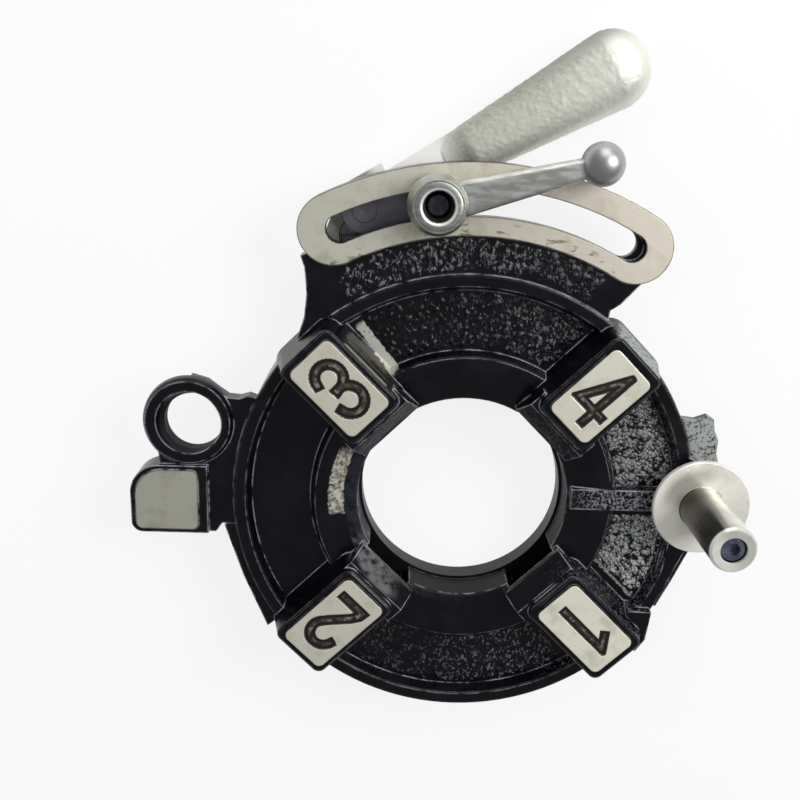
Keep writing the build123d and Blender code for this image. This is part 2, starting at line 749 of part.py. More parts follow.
with BuildPart() as lever_pivot_screw:
    with BuildSketch(Plane.XY.offset(cam_rear + 0.2)):
        with Locations((pivot_x, pivot_y)):
            Circle(pivot_diameter / 2 - 1)
    extrude(amount=arm_front - cam_rear - 0.2)
    with BuildSketch(Plane.XY.offset(arm_front)):
        with Locations((pivot_x, pivot_y)):
            Circle(pivot_diameter / 2)
    extrude(amount=lever_front - pivot_head_height - 0.1 - arm_front)
    with BuildSketch(Plane.XY.offset(lever_front - pivot_head_height - 0.1)):
        with Locations((pivot_x, pivot_y)):
            Circle(pivot_head_diameter / 2)
    extrude(amount=pivot_head_height)
    with BuildSketch(Plane.XY.offset(lever_front - 1.2)):
        with Locations((pivot_x, pivot_y)):
            Rectangle(pivot_head_diameter + 2, 1.6)
    extrude(amount=2, mode=Mode.SUBTRACT)

lever_pivot_screw.part.label = "lever_pivot_screw"
export_step(lever_pivot_screw.part, "parts/lever_pivot_screw.step")

# Link and its pin.
with BuildPart() as link:
    with BuildSketch(Plane.XY.offset(link_rear)):
        with Locations((stud_x, stud_y), (link_pin_x, link_pin_y)):
            Circle(link_eye_radius)
        make_hull()
    extrude(amount=link_front - link_rear)
    with BuildSketch(Plane.XY.offset(link_rear - 1)):
        with Locations((stud_x, stud_y)):
            Circle(stud_journal_diameter / 2 + running_gap)
    extrude(amount=link_front - link_rear + 2, mode=Mode.SUBTRACT)
    with BuildSketch(Plane.XY.offset(link_rear - 1)):
        with Locations((stud_x, stud_y)):
            Circle(stud_journal_diameter / 2 + 2.2)
    extrude(amount=stud_foot + stud_foot_height + 0.2 - link_rear + 1, mode=Mode.SUBTRACT)
    with BuildSketch(Plane.XY.offset(link_rear - 1)):
        with Locations((link_pin_x, link_pin_y)):
            Circle(link_pin_diameter / 2 + link_pin_clearance)
    extrude(amount=link_front - link_rear + 2, mode=Mode.SUBTRACT)

link.part.label = "link"
export_step(link.part, "parts/link.step")

with BuildPart() as link_pin:
    with BuildSketch(Plane.XY.offset(lever_rear + 0.2)):
        with Locations((link_pin_x, link_pin_y)):
            Circle(link_pin_diameter / 2)
    extrude(amount=link_front - 0.2 - lever_rear - 0.2)
    chamfer(link_pin.faces().sort_by(Axis.Z)[-1].edges(), 0.6)

link_pin.part.label = "link_pin"
export_step(link_pin.part, "parts/link_pin.step")

# Clamp stud, washer and lever.
step_face = flange_rear + step_depth
washer_rear = quadrant_front + 0.05
hub_rear = washer_rear + washer_thickness
with BuildPart() as clamp_stud:
    with BuildSketch(Plane.XY.offset(stud_foot)):
        with Locations((stud_x, stud_y)):
            Circle(stud_journal_diameter / 2 + 1.8)
    extrude(amount=stud_foot_height)
    with BuildSketch(Plane.XY.offset(stud_foot)):
        with Locations((stud_x, stud_y)):
            Circle(stud_journal_diameter / 2)
    extrude(amount=flange_rear + 0.3 - stud_foot)
    with BuildSketch(Plane.XY.offset(flange_rear + 0.2)):
        with Locations((stud_x, stud_y)):
            Circle(step_width / 2 - running_gap)
    extrude(amount=step_face - 0.1 - flange_rear - 0.2)
    with BuildSketch(Plane.XY.offset(step_face - 0.2)):
        with Locations((stud_x, stud_y)):
            Circle(stud_diameter / 2)
    extrude(amount=washer_rear + washer_thickness - 0.4 - step_face + 0.2)
    with BuildSketch(Plane.XY.offset(washer_rear)):
        with Locations((stud_x, stud_y)):
            Circle(stud_thread_diameter / 2)
    extrude(amount=stud_top - washer_rear)
    chamfer(clamp_stud.faces().sort_by(Axis.Z)[-1].edges(), 1.0)

clamp_stud.part.label = "clamp_stud"
export_step(clamp_stud.part, "parts/clamp_stud.step")

with BuildPart() as clamp_washer:
    with BuildSketch(Plane.XY.offset(washer_rear)):
        with Locations((stud_x, stud_y)):
            Circle(washer_diameter / 2)
            Circle(stud_diameter / 2, mode=Mode.SUBTRACT)
    extrude(amount=washer_thickness)

clamp_washer.part.label = "clamp_washer"
export_step(clamp_washer.part, "parts/clamp_washer.step")

hub_base = hub_rear + 0.05
hub_top = hub_base + hub_height
arm_low = hub_base + 5.6
arm_high = quadrant_front + ball_radius + 3.4
clamp_c, clamp_s = cos(radians(clamp_angle)), sin(radians(clamp_angle))


def clamp_section(distance, height):
    """Plane square to the clamp lever's arm at a distance from the stud, its own Y is +Z."""
    origin = (stud_x + distance * clamp_c, stud_y + distance * clamp_s, height)
    return Plane(origin=origin, x_dir=(-clamp_s, clamp_c, 0), z_dir=(clamp_c, clamp_s, 0))


with BuildPart() as clamp_lever:
    with BuildSketch(Plane.XY.offset(hub_base)):
        with Locations((stud_x, stud_y)):
            Circle(hub_radius)
    extrude(amount=hub_height * 0.42)
    with Locations(Location((stud_x, stud_y, hub_base + hub_height * 0.71))):
        Cone(hub_radius, hub_top_radius, hub_height * 0.58)
    with BuildSketch(clamp_section(6, arm_low)):
        RectangleRounded(arm_hub_width, 9.0, 2.4)
    with BuildSketch(clamp_section(clamp_reach - 4, arm_high)):
        RectangleRounded(arm_ball_width, 8.0, 2.4)
    loft()
    with Locations((stud_x + clamp_reach * clamp_c, stud_y + clamp_reach * clamp_s, arm_high)):
        Sphere(ball_radius)
    with BuildSketch(Plane.XY.offset(hub_base - 1)):
        with Locations((stud_x, stud_y)):
            Circle(stud_thread_diameter / 2 + running_gap)
    extrude(amount=hub_height + 2, mode=Mode.SUBTRACT)
    with BuildSketch(Plane.XY.offset(stud_top - 0.6)):
        with Locations((stud_x, stud_y)):
            Circle(hub_hole_diameter / 2)
    extrude(amount=hub_height, mode=Mode.SUBTRACT)

clamp_lever.part.label = "clamp_lever"
export_step(clamp_lever.part, "parts/clamp_lever.step")
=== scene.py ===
"""Looks of a pipe threading die head: cast skins, numbered pads, metals, light and camera.

Everything is in metres in the row frame: Z is the bore axis and points to the numbered face,
X runs from the bore to the mounting post and Y from the bore to the slotted quadrant.
"""

import logging
import math
from dataclasses import dataclass, field, replace
from enum import Enum
from functools import cached_property
from typing import Callable, Optional, Sequence, Union

import bmesh
import bpy
import numpy as np
from mathutils import Matrix, Vector, noise


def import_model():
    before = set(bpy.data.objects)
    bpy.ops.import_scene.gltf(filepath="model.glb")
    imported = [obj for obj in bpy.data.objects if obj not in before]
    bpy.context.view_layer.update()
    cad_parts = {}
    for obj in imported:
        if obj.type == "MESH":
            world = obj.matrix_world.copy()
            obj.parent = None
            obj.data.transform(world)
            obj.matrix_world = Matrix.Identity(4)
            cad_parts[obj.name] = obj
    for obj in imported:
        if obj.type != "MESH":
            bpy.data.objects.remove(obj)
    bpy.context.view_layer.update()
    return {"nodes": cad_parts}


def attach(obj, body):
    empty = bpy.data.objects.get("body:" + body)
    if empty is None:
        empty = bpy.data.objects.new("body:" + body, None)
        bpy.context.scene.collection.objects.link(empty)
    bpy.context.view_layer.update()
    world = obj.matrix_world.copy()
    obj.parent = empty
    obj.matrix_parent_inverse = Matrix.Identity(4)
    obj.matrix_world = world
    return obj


LOG = logging.getLogger("die_head")
MM = 0.001
HALF_ROOT = math.sqrt(0.5)

Pair = tuple[float, float]
Colour = tuple[float, float, float]
Point = tuple[float, float, float]
Array = np.ndarray
Outline = Callable[[Array, Array], tuple[Array, Array]]
Socket = bpy.types.NodeSocket
Material = bpy.types.Material

STUD: Pair = (-0.015994, 0.129516)


def smooth_step(value: Array, low: float, high: float) -> Array:
    """Smooth rise from 0 at low to 1 at high.

    Args:
        value: Numbers to map.
        low: Where the rise starts.
        high: Where the rise ends.

    Returns:
        The mapped numbers, each from 0 to 1.
    """
    share = np.clip((value - low) / (high - low), 0.0, 1.0)
    return share * share * (3.0 - 2.0 * share)


class Value:
    """A number socket of a shader that takes part in Python expressions."""

    def __init__(self, graph: "Graph", socket: Socket) -> None:
        """Keeps the socket and the graph that new nodes go to."""
        self.graph = graph
        self.socket = socket

    def __add__(self, other: "Number") -> "Value":
        """Sum with a number or another value."""
        return self.graph.math("ADD", self, other)

    def __sub__(self, other: "Number") -> "Value":
        """Difference from a number or another value."""
        return self.graph.math("SUBTRACT", self, other)

    def __rsub__(self, other: "Number") -> "Value":
        """Difference with a number on the left."""
        return self.graph.math("SUBTRACT", other, self)

    def __mul__(self, other: "Number") -> "Value":
        """Product with a number or another value."""
        return self.graph.math("MULTIPLY", self, other)

    def __truediv__(self, other: "Number") -> "Value":
        """Quotient by a number or another value."""
        return self.graph.math("DIVIDE", self, other)

    def rise(self, low: float, high: float) -> "Value":
        """Smooth rise from 0 at low to 1 at high.

        Args:
            low: Where the rise starts.
            high: Where the rise ends, which may lie below low for a fall.

        Returns:
            A value from 0 to 1.
        """
        return self.graph.number(
            "ShaderNodeMapRange", {"interpolation_type": "SMOOTHSTEP"},
            {"Value": self, "From Min": low, "From Max": high},
        )

    def ramp(self, low_mm: float, high_mm: float) -> "Value":
        """Smooth rise of a length in metres between two levels in millimetres."""
        return self.rise(low_mm * MM, high_mm * MM)

    def band(self, low_mm: float, high_mm: float, soft_mm: float = 0.4) -> "Value":
        """Soft mask of a range of millimetres, for a length in metres.

        Args:
            low_mm: Start of the range.
            high_mm: End of the range.
            soft_mm: Width of the soft edges.

        Returns:
            A value from 0 to 1.
        """
        start = self.ramp(low_mm - soft_mm, low_mm + soft_mm)
        return start * self.ramp(high_mm + soft_mm, high_mm - soft_mm)


Number = Union[float, Value]
Link = Union[float, Sequence[float], Value, Socket]
Options = Optional[dict[str, object]]
Sockets = dict[Union[str, int], Link]


class Graph:
    """The node graph of one material."""

    def __init__(self, name: str) -> None:
        """Makes an empty material with its output node.

        Args:
            name: The material's name.
        """
        self.material = bpy.data.materials.new(name)
        self.material.use_nodes = True
        self.tree = self.material.node_tree
        self.tree.nodes.clear()
        self.output = self.tree.nodes.new("ShaderNodeOutputMaterial")

    def node(
        self, kind: str, settings: Options = None, sockets: Optional[Sockets] = None
    ) -> bpy.types.Node:
        """Adds a node, sets its options first and then its sockets.

        Args:
            kind: The node's type name.
            settings: Options by name, such as an operation.
            sockets: Numbers, colours or links by socket name or place.

        Returns:
            The new node.
        """
        made = self.tree.nodes.new(kind)
        for name, option in (settings or {}).items():
            setattr(made, name, option)
        for key, link in (sockets or {}).items():
            if isinstance(link, Value):
                self.tree.links.new(link.socket, made.inputs[key])
            elif isinstance(link, Socket):
                self.tree.links.new(link, made.inputs[key])
            elif isinstance(link, (int, float)):
                made.inputs[key].default_value = link
            else:
                filled = list(link)
                if made.inputs[key].type == "RGBA" and len(filled) == 3:
                    filled.append(1.0)
                made.inputs[key].default_value = filled
        return made

    def number(
        self, kind: str, settings: Options = None, sockets: Optional[Sockets] = None,
        output: Union[str, int] = 0,
    ) -> Value:
        """Adds a node and wraps one of its outputs.

        Args:
            kind: The node's type name.
            settings: Options by name.
            sockets: Values or links by socket name or place.
            output: Which output to wrap.

        Returns:
            The output as a value.
        """
        return Value(self, self.node(kind, settings, sockets).outputs[output])

    def math(self, operation: str, left: Number, right: Number = 0.0) -> Value:
        """One Math node on one or two numbers.

        Args:
            operation: The node's operation.
            left: First number.
            right: Second number, where the operation takes one.

        Returns:
            The result.
        """
        return self.number("ShaderNodeMath", {"operation": operation}, {0: left, 1: right})

    def mix(self, share: Number, first: Link, second: Link) -> Socket:
        """Mixes two colours.

        Args:
            share: 0 for the first colour, 1 for the second.
            first: A colour or a link to one.
            second: A colour or a link to one.

        Returns:
            The mixed colour's socket.
        """
        made = self.node("ShaderNodeMix", {"data_type": "RGBA"}, {0: share, 6: first, 7: second})
        return made.outputs[2]

    def layers(self, tone: Link, coats: Sequence[tuple[Number, Link]]) -> Socket:
        """Lays colours over a first one in order.

        Args:
            tone: The first colour.
            coats: Share and colour of each layer.

        Returns:
            The last mixed colour's socket.
        """
        for share, colour in coats:
            tone = self.mix(share, tone, colour)
        return tone

    @cached_property
    def place(self) -> Socket:
        """Place on the piece in its own metres."""
        return self.node("ShaderNodeTexCoord").outputs["Object"]

    @cached_property
    def axes(self) -> tuple[Value, Value, Value]:
        """The three numbers of the place on the piece."""
        split = self.node("ShaderNodeSeparateXYZ", None, {0: self.place})
        return tuple(Value(self, split.outputs[i]) for i in range(3))

    def round_axis(self, centre: Pair = (0.0, 0.0)) -> tuple[Value, Value, Value]:
        """Place against an upright axis.

        Args:
            centre: X and Y of the axis.

        Returns:
            X and Y from the axis and the distance from it.
        """
        x, y, _ = self.axes
        dx, dy = x - centre[0], y - centre[1]
        return dx, dy, self.math("SQRT", dx * dx + dy * dy)

    def facing_up(self) -> Value:
        """How far the surface faces along +Z.

        Returns:
            A value from -1 to 1.
        """
        geometry = self.node("ShaderNodeNewGeometry")
        turned = self.node(
            "ShaderNodeVectorTransform",
            {"vector_type": "NORMAL", "convert_from": "WORLD", "convert_to": "OBJECT"},
            {0: geometry.outputs["Normal"]},
        )
        return self.number("ShaderNodeSeparateXYZ", None, {0: turned.outputs[0]}, "Z")

    def noise(
        self, size_mm: float, detail: float = 3.0, stretch: Point = (1, 1, 1), warp: float = 0.0
    ) -> Value:
        """Soft noise with features of about the given size.

        Args:
            size_mm: Size of the features in millimetres.
            detail: How many finer layers are added.
            stretch: How much denser the noise is along each axis.
            warp: How much the features wind.

        Returns:
            A value round 0.5.
        """
        scaled = self.node(
            "ShaderNodeMapping", {"vector_type": "POINT"},
            {"Vector": self.place, "Scale": stretch},
        )
        return self.number(
            "ShaderNodeTexNoise", None,
            {"Vector": scaled.outputs[0], "Scale": 1.0 / (size_mm * MM), "Detail": detail,
             "Roughness": 0.55, "Distortion": warp},
        )

    def edges(self, radius_mm: float, low: float = 0.02, high: float = 0.20) -> Value:
        """Thin band along the edges of a piece.

        Args:
            radius_mm: Width of the band in millimetres.
            low: Bend at which the band starts.
            high: Bend at which the band is full.

        Returns:
            A value from 0 on the faces to 1 on the edges.
        """
        geometry = self.node("ShaderNodeNewGeometry")
        rounded = self.node("ShaderNodeBevel", {"samples": 6}, {"Radius": radius_mm * MM})
        along = self.number(
            "ShaderNodeVectorMath", {"operation": "DOT_PRODUCT"},
            {0: geometry.outputs["Normal"], 1: rounded.outputs[0]}, "Value",
        )
        return (1.0 - along).rise(low, high)

    def surface(
        self, colour: Link, roughness: Link, metallic: Link = 0.0,
        bumps: Sequence[tuple[Value, float, float]] = (), edge_mm: float = 0.0,
        specular: float = 0.5,
    ) -> Material:
        """Joins the shader to the output.

        Args:
            colour: Base colour.
            roughness: Roughness.
            metallic: Metallic share.
            bumps: Height, depth in millimetres and strength of each relief.
            edge_mm: Radius that sharp edges are softened to.
            specular: Level of the mirror share of plain surfaces.

        Returns:
            The finished material.
        """
        normal: Sockets = {}
        if edge_mm > 0:
            bevel = self.node("ShaderNodeBevel", {"samples": 4}, {"Radius": edge_mm * MM})
            normal["Normal"] = bevel.outputs[0]
        for height, depth_mm, strength in bumps:
            relief = {"Height": height, "Distance": depth_mm * MM, "Strength": strength}
            bump = self.node("ShaderNodeBump", None, {**relief, **normal})
            normal["Normal"] = bump.outputs[0]
        shader = self.node("ShaderNodeBsdfPrincipled", None, {
            "Base Color": colour, "Roughness": roughness, "Metallic": metallic,
            "Specular IOR Level": specular, **normal,
        })
        self.finish(shader)
        return self.material

    def finish(self, shader: bpy.types.Node) -> None:
        """Joins a shader node to the material's output."""
        self.tree.links.new(shader.outputs[0], self.output.inputs["Surface"])


@dataclass(frozen=True)
class MachinedFace:
    """Milled iron with a warm grey tone, faint stains and cutter marks."""

    colour: Colour = (0.66, 0.62, 0.51)
    stain: Colour = (0.40, 0.36, 0.27)
    roughness: float = 0.42

    def tones(self, graph: Graph) -> tuple[Socket, Value]:
        """Colour and roughness of the face.

        Args:
            graph: Where the nodes go.

        Returns:
            The colour's socket and the roughness.
        """
        clouds = graph.noise(9.0, 4.0)
        specks = graph.noise(1.6, 2.0)
        share = clouds.rise(0.45, 0.78) * 0.62 + specks.rise(0.60, 0.80) * 0.30
        tone = graph.mix(share, self.colour, self.stain)
        return tone, clouds * 0.20 + (self.roughness - 0.10)


@dataclass(frozen=True)
class BlackEnamel:
    """Gloss black enamel that flows over sand-cast iron."""

    deep: Colour = (0.0020, 0.0020, 0.0034)
    haze: Colour = (0.0045, 0.0045, 0.0068)
    roughness: float = 0.22
    specular: float = 0.32

    def coat(self, graph: Graph) -> tuple[Socket, Value]:
        """Colour and roughness of the enamel.

        Args:
            graph: Where the nodes go.

        Returns:
            The colour's socket and the roughness.
        """
        drift = graph.noise(14.0, 3.0)
        tone = graph.mix(drift.rise(0.4, 0.7), self.deep, self.haze)
        return tone, drift * 0.20 + (self.roughness - 0.08)


@dataclass(frozen=True)
class PebbledEnamel(BlackEnamel):
    """Enamel over sand grain, with highlights painted lighter on the winding crests."""

    crest: Colour = (0.085, 0.085, 0.092)
    gap: Colour = (0.0030, 0.0030, 0.0045)
    floor_mm: float = 24.0
    grain_mm: float = 1.5
    cover: float = 0.585
    bare_share: Pair = (0.36, 0.52)
    painted_light_span: Pair = (0.0, 1.0)
    least: float = 1.0
    stretch: Point = (1.0, 1.0, 1.0)

    def build(self, name: str) -> Material:
        """Makes the material.

        Args:
            name: The material's name.

        Returns:
            The material.
        """
        graph = Graph(name)
        tone, rough = self.coat(graph)
        x, _, height = graph.axes
        above = height.ramp(self.floor_mm + 0.02, self.floor_mm + 0.16)
        above = above * (x.ramp(*self.painted_light_span) * (1.0 - self.least) + self.least)
        worms = graph.noise(self.grain_mm, 1.0, self.stretch, 0.7)
        fine = graph.noise(self.grain_mm * 0.45, 1.0).rise(0.30, 0.60)
        where = above * graph.noise(7.0, 3.0).rise(*self.bare_share)
        # painted highlight: the winding crests are painted lighter to stand in for glints, and can
        # fade along X
        painted_highlight = worms.rise(self.cover - 0.04, self.cover + 0.08) * (fine * 0.45 + 0.55)
        painted_highlight = where * painted_highlight
        return graph.surface(
            graph.layers(tone, ((where, self.gap), (painted_highlight, self.crest))), rough + painted_highlight * 0.25,
            0.0, [(worms, 0.40, 0.9), (fine, 0.05, 0.5)], 0.0, self.specular,
        )


@dataclass(frozen=True)
class BodyFinish(BlackEnamel):
    """The body: enamel, milled faces outside the ring, a few worn patches and painted highlights.
    """

    face: MachinedFace = MachinedFace()
    bare: Colour = (0.62, 0.61, 0.54)
    faded: Colour = (0.26, 0.24, 0.17)
    brown: Colour = (0.075, 0.040, 0.024)
    olive: Colour = (0.22, 0.23, 0.18)
    painted_highlight: Colour = (0.52, 0.52, 0.57)
    chip: Colour = (0.34, 0.36, 0.34)
    light_specks: Colour = (0.26, 0.26, 0.29)
    sheen: Colour = (0.021, 0.024, 0.034)
    glare: Colour = (0.14, 0.14, 0.14)
    smear: Colour = (0.17, 0.155, 0.105)
    edge_dark: Colour = (0.03, 0.028, 0.022)
    cool: Colour = (1.02, 1.07, 1.06)
    warm: Colour = (1.14, 1.10, 1.12)
    eye: Pair = (-0.1183, 0.0332)
    face_mm: float = 30.4
    ring_mm: float = 112.0

    def wear(self, graph: Graph) -> tuple[Value, Value, Value, Value, Value]:
        """Where the enamel is worn off.

        Args:
            graph: Where the nodes go.

        Returns:
            Masks of the worn slope, the bare strip, the brown and the olive scratches, and
            the light rough metal.
        """
        x, y, radius = graph.round_axis()
        z = graph.axes[2]
        ragged = (graph.noise(2.4, 4.0) - 0.5) * (2.4 * MM)
        slope = (
            (radius + ragged).band(52.8, 59.2) * (y + ragged).band(-7.0, 23.5, 1.0)
            * x.ramp(-44.0, -47.0)
        )
        to_three, to_four = (y - x) * HALF_ROOT, (x + y) * HALF_ROOT
        side, across = to_four + ragged, (x - y) * HALF_ROOT + ragged
        length = (to_three + ragged).band(63.5, 88.0, 1.0) * x.ramp(0.0, -4.0)
        strip = (side - to_three * 0.11).band(9.8, 14.2) * z.ramp(30.0, 28.5)
        length = length * (side.band(12.0, 18.5) + strip)
        shoulder = to_four.band(95.6, 110.0) * across.band(-13.0, 15.0, 1.0) * z.band(25.0, 41.6)
        ear = (
            radius.band(101.9, 130.0, 0.5) * z.band(26.4, 27.6, 0.1)
            * y.band(14.0, 60.0) * x.ramp(80.0, 90.0)
        )
        fillet = (
            side.band(23.0, 24.3, 0.3) * across.band(57.0, 89.0, 1.0)
            * z.ramp(26.2, 25.0) * x.ramp(30.0, 40.0)
        )
        brown = z.band(35.4, 37.2, 0.3) * length
        olive = z.band(39.4, 41.7, 0.3) * length
        return slope, strip * length, brown, olive, shoulder + ear + fillet

    def metal(self, graph: Graph) -> tuple[Socket, Value]:
        """Milled metal of the quadrant and the rest pad.

        Args:
            graph: Where the nodes go.

        Returns:
            The colour's socket and the roughness.
        """
        tone, rough = self.face.tones(graph)
        x, y, radius = graph.round_axis()
        tint = graph.mix(x.ramp(-70.0, 65.0), self.cool, self.warm)
        tone = graph.node(
            "ShaderNodeVectorMath", {"operation": "MULTIPLY"}, {0: tone, 1: tint}
        ).outputs[0]
        smudge = (
            graph.noise(7.0, 3.0, (1.0, 2.2, 1.0)).rise(0.60, 0.68) * radius.ramp(123.5, 121.5)
            * y.ramp(70.0, 80.0)
        )
        # darker along the edges of the milled faces, and darker towards the rest pad's end at the
        # left
        return graph.layers(tone, (
            (x.ramp(-106.0, -114.0) * 0.22, (0.0, 0.0, 0.0)), (smudge * 0.75, self.smear),
            (graph.edges(1.0, 0.01, 0.12), self.edge_dark),
        )), rough

    def build(self, name: str) -> Material:
        """Makes the material.

        Args:
            name: The material's name.

        Returns:
            The material.
        """
        graph = Graph(name)
        enamel, enamel_rough = self.coat(graph)
        metal, metal_rough = self.metal(graph)
        x, y, radius = graph.round_axis()
        z, up = graph.axes[2], graph.facing_up()
        milled = (
            z.ramp(self.face_mm - 0.05, self.face_mm + 0.05) * up.rise(0.90, 0.96)
            * radius.ramp(self.ring_mm - 0.5, self.ring_mm + 0.5)
        )
        cast = 1.0 - milled
        flecks = graph.noise(1.7, 4.0)
        specks = graph.noise(1.3, 2.0, warp=0.7)
        slope, strip, brown, olive, chip = self.wear(graph)
        # painted highlight: thin light lines along the edges, broken by noise and faint on the
        # boss tops
        lit = graph.edges(1.3) * graph.noise(6.0, 4.0).rise(0.36, 0.60)
        lit = lit * (z.ramp(43.0, 41.4) * 0.85 + 0.15)
        right = x.ramp(35.0, 55.0) * y.ramp(62.0, 50.0)
        inner = x.ramp(28.0, 36.0) * y.band(18.0, 46.0, 3.0) * radius.ramp(60.0, 56.0)
        # light grey specks on the grain of the right-hand walls, the guide side and the rib's top
        grit = (right + inner) * up.rise(0.80, 0.50) * specks.rise(0.52, 0.66) * 0.5
        rib = (
            right * y.band(-2.4, 7.6) * z.ramp(29.7, 29.9) * radius.ramp(96.0, 94.0)
            * x.ramp(40.0, 66.0) * specks.rise(0.46, 0.58)
        )
        # painted reflection in the throat: a dim sheen all round and a grey glare low down
        throat = radius.band(44.6, 52.4, 0.8) * x.ramp(-26.0, -34.0)
        painted_throat_reflection = throat * graph.noise(4.0, 3.0).rise(0.30, 0.60)
        low = y.ramp(-16.0, -24.0)
        tone = graph.layers(enamel, (
            (grit + rib * 0.8, self.light_specks), (painted_throat_reflection * (low * 0.3 + 0.7), self.sheen),
            (painted_throat_reflection * low, self.glare), (lit * cast, self.painted_highlight),
            (chip * graph.noise(1.2, 4.0).rise(0.33, 0.53), self.chip),
            (slope * flecks.rise(0.31, 0.42),
             graph.mix(flecks.rise(0.42, 0.62), self.faded, self.bare)),
            (strip * flecks.rise(0.30, 0.38), self.bare), (brown, self.brown),
            (olive, self.olive), (milled, metal),
        ))
        shine = graph.math("MAXIMUM", milled, (slope + strip) * 0.6)
        eye = graph.round_axis(self.eye)[2]
        bore = graph.math("MAXIMUM", radius.ramp(48.0, 46.5), eye.ramp(15.0, 13.5))
        rough = enamel_rough * (1.0 - shine) + metal_rough * shine + (chip + bore) * 0.4
        bumps = [
            (graph.noise(6.0, 2.0) * cast, 0.35, 0.5), (graph.noise(1.3, 3.0) * cast, 0.12, 0.7),
            (graph.noise(0.6, 2.0, (9.0, 1.0, 1.0)) * milled, 0.02, 0.5),
        ]
        return graph.surface(tone, rough, shine * 0.5, bumps, 0.9, self.specular)


@dataclass(frozen=True)
class NumberedPad(MachinedFace):
    """A milled pad whose numeral is a groove with old dark paint in it."""

    colour: Colour = (0.80, 0.77, 0.64)
    stain: Colour = (0.55, 0.50, 0.38)
    paint: Colour = (0.008, 0.006, 0.005)
    ridge: Colour = (0.075, 0.057, 0.042)
    glint: Colour = (0.20, 0.175, 0.15)
    top_mm: float = 44.0

    def build(self, name: str) -> Material:
        """Makes the material.

        Args:
            name: The material's name.

        Returns:
            The material.
        """
        graph = Graph(name)
        tone, rough = self.tones(graph)
        height = graph.axes[2]
        groove = height.ramp(self.top_mm - 0.05, self.top_mm - 0.16)
        middle = height.ramp(self.top_mm - 0.44, self.top_mm - 0.30)
        paint = graph.layers(self.paint, (
            (middle * graph.noise(1.8, 3.0).rise(0.35, 0.65), self.ridge),
            (middle * graph.noise(3.4, 2.0).rise(0.52, 0.66), self.glint),
        ))
        marks = graph.noise(0.5, 2.0, (1.0, 7.0, 1.0))
        return graph.surface(
            graph.mix(groove, tone, paint), rough - groove * 0.08, (1.0 - groove) * 0.40,
            [(marks, 0.015, 0.5)],
        )


@dataclass(frozen=True)
class SandCastMetal:
    """Bare sand-cast metal, light and dry, with brighter crests, a machined neck, and where asked
    painted light along it and painted light and shadow across it.
    """

    colour: Colour = (0.47, 0.465, 0.385)
    crest: Colour = (0.60, 0.595, 0.50)
    light: Colour = (0.86, 0.855, 0.76)
    shadow: Colour = (0.12, 0.12, 0.11)
    planed: Colour = (0.90, 0.90, 0.85)
    roughness: float = 0.50
    grain_mm: float = 1.3
    painted_light_span: Pair = (1000.0, 2000.0)
    neck: Pair = (-1000.0, -2000.0)
    side: float = 0.0
    run: Pair = (0.8625, 0.506)

    def build(self, name: str) -> Material:
        """Makes the material.

        Args:
            name: The material's name.

        Returns:
            The material.
        """
        graph = Graph(name)
        clouds = graph.noise(11.0, 3.0)
        grain = graph.noise(self.grain_mm, 3.0)
        x, y, _ = graph.axes
        along = x * self.run[0] + y * self.run[1]
        aside = y * self.run[0] - x * self.run[1]
        machined = along.ramp(*self.neck) * along.ramp(30.0, 36.0)
        # painted light rising towards the grip's end, and painted light and shadow across the grip
        tone = graph.layers(self.colour, (
            (grain.rise(0.35, 0.62), self.crest), (clouds.rise(0.45, 0.75) * 0.35, self.colour),
            (along.ramp(*self.painted_light_span) * 0.9, self.light),
            (aside.ramp(148.0, 124.0) * self.side, self.light),
            (aside.ramp(136.0, 150.0) * self.side, self.shadow), (machined, self.planed),
        ))
        return graph.surface(
            tone, clouds * 0.16 + (self.roughness - 0.08), 0.62 - machined * 0.5,
            [(grain, 0.14, 0.7), (graph.noise(0.5, 2.0), 0.03, 0.5)], 0.5,
        )


@dataclass(frozen=True)
class ForgedSteel:
    """Satin forged steel with a painted highlight ring round the hub's hole, painted shade on the
    hub and in the hole, and a ball end.
    """

    stud: Pair
    ball: Point
    ball_radius: float
    colour: Colour = (0.55, 0.55, 0.50)
    worn: Colour = (0.78, 0.78, 0.72)
    polished: Colour = (0.46, 0.455, 0.45)
    painted_dim: Colour = (0.27, 0.28, 0.24)
    bright: Colour = (0.90, 0.90, 0.86)
    dark: Colour = (0.012, 0.014, 0.012)
    top_mm: float = 48.1
    ring_mm: float = 7.25
    hole_mm: float = 6.3

    def build(self, name: str) -> Material:
        """Makes the material.

        Args:
            name: The material's name.

        Returns:
            The material.
        """
        graph = Graph(name)
        z, radius = graph.axes[2], graph.round_axis(self.stud)[2]
        streaks = graph.noise(3.0, 4.0, (0.35, 1.3, 1.0))
        near = graph.number(
            "ShaderNodeVectorMath", {"operation": "DISTANCE"},
            {0: graph.place, 1: self.ball}, "Value",
        )
        ball = near.rise(self.ball_radius * 1.25, self.ball_radius * 1.02)
        # painted shade: the hub's dome round the stud is painted darker
        hub = radius.ramp(13.0, 11.4) * (0.75 - streaks * 0.35)
        # painted highlight: a bright ring round the hole, less metallic so that it stays bright
        ring = z.ramp(self.top_mm - 1.2, self.top_mm - 0.5)
        ring = ring * radius.ramp(self.ring_mm + 0.5, self.ring_mm - 0.3)
        # painted shade: the hole is painted near black
        hole = radius.ramp(self.hole_mm + 0.05, self.hole_mm - 0.05)
        hole = hole * z.ramp(self.top_mm - 0.6, self.top_mm - 1.4)
        tone = graph.layers(self.colour, (
            (streaks.rise(0.38, 0.64), self.worn), (ball, self.polished), (hub, self.painted_dim),
            (ring, self.bright), (hole, self.dark),
        ))
        rough = (streaks * 0.18 + 0.30) * (1.0 - ball) + ball * 0.40
        grain = graph.noise(0.9, 3.0) * (1.0 - ball * 0.85)
        return graph.surface(
            tone, rough, 0.95 - hole * 0.9 - ring * 0.45, [(grain, 0.10, 0.5)], 0.7
        )


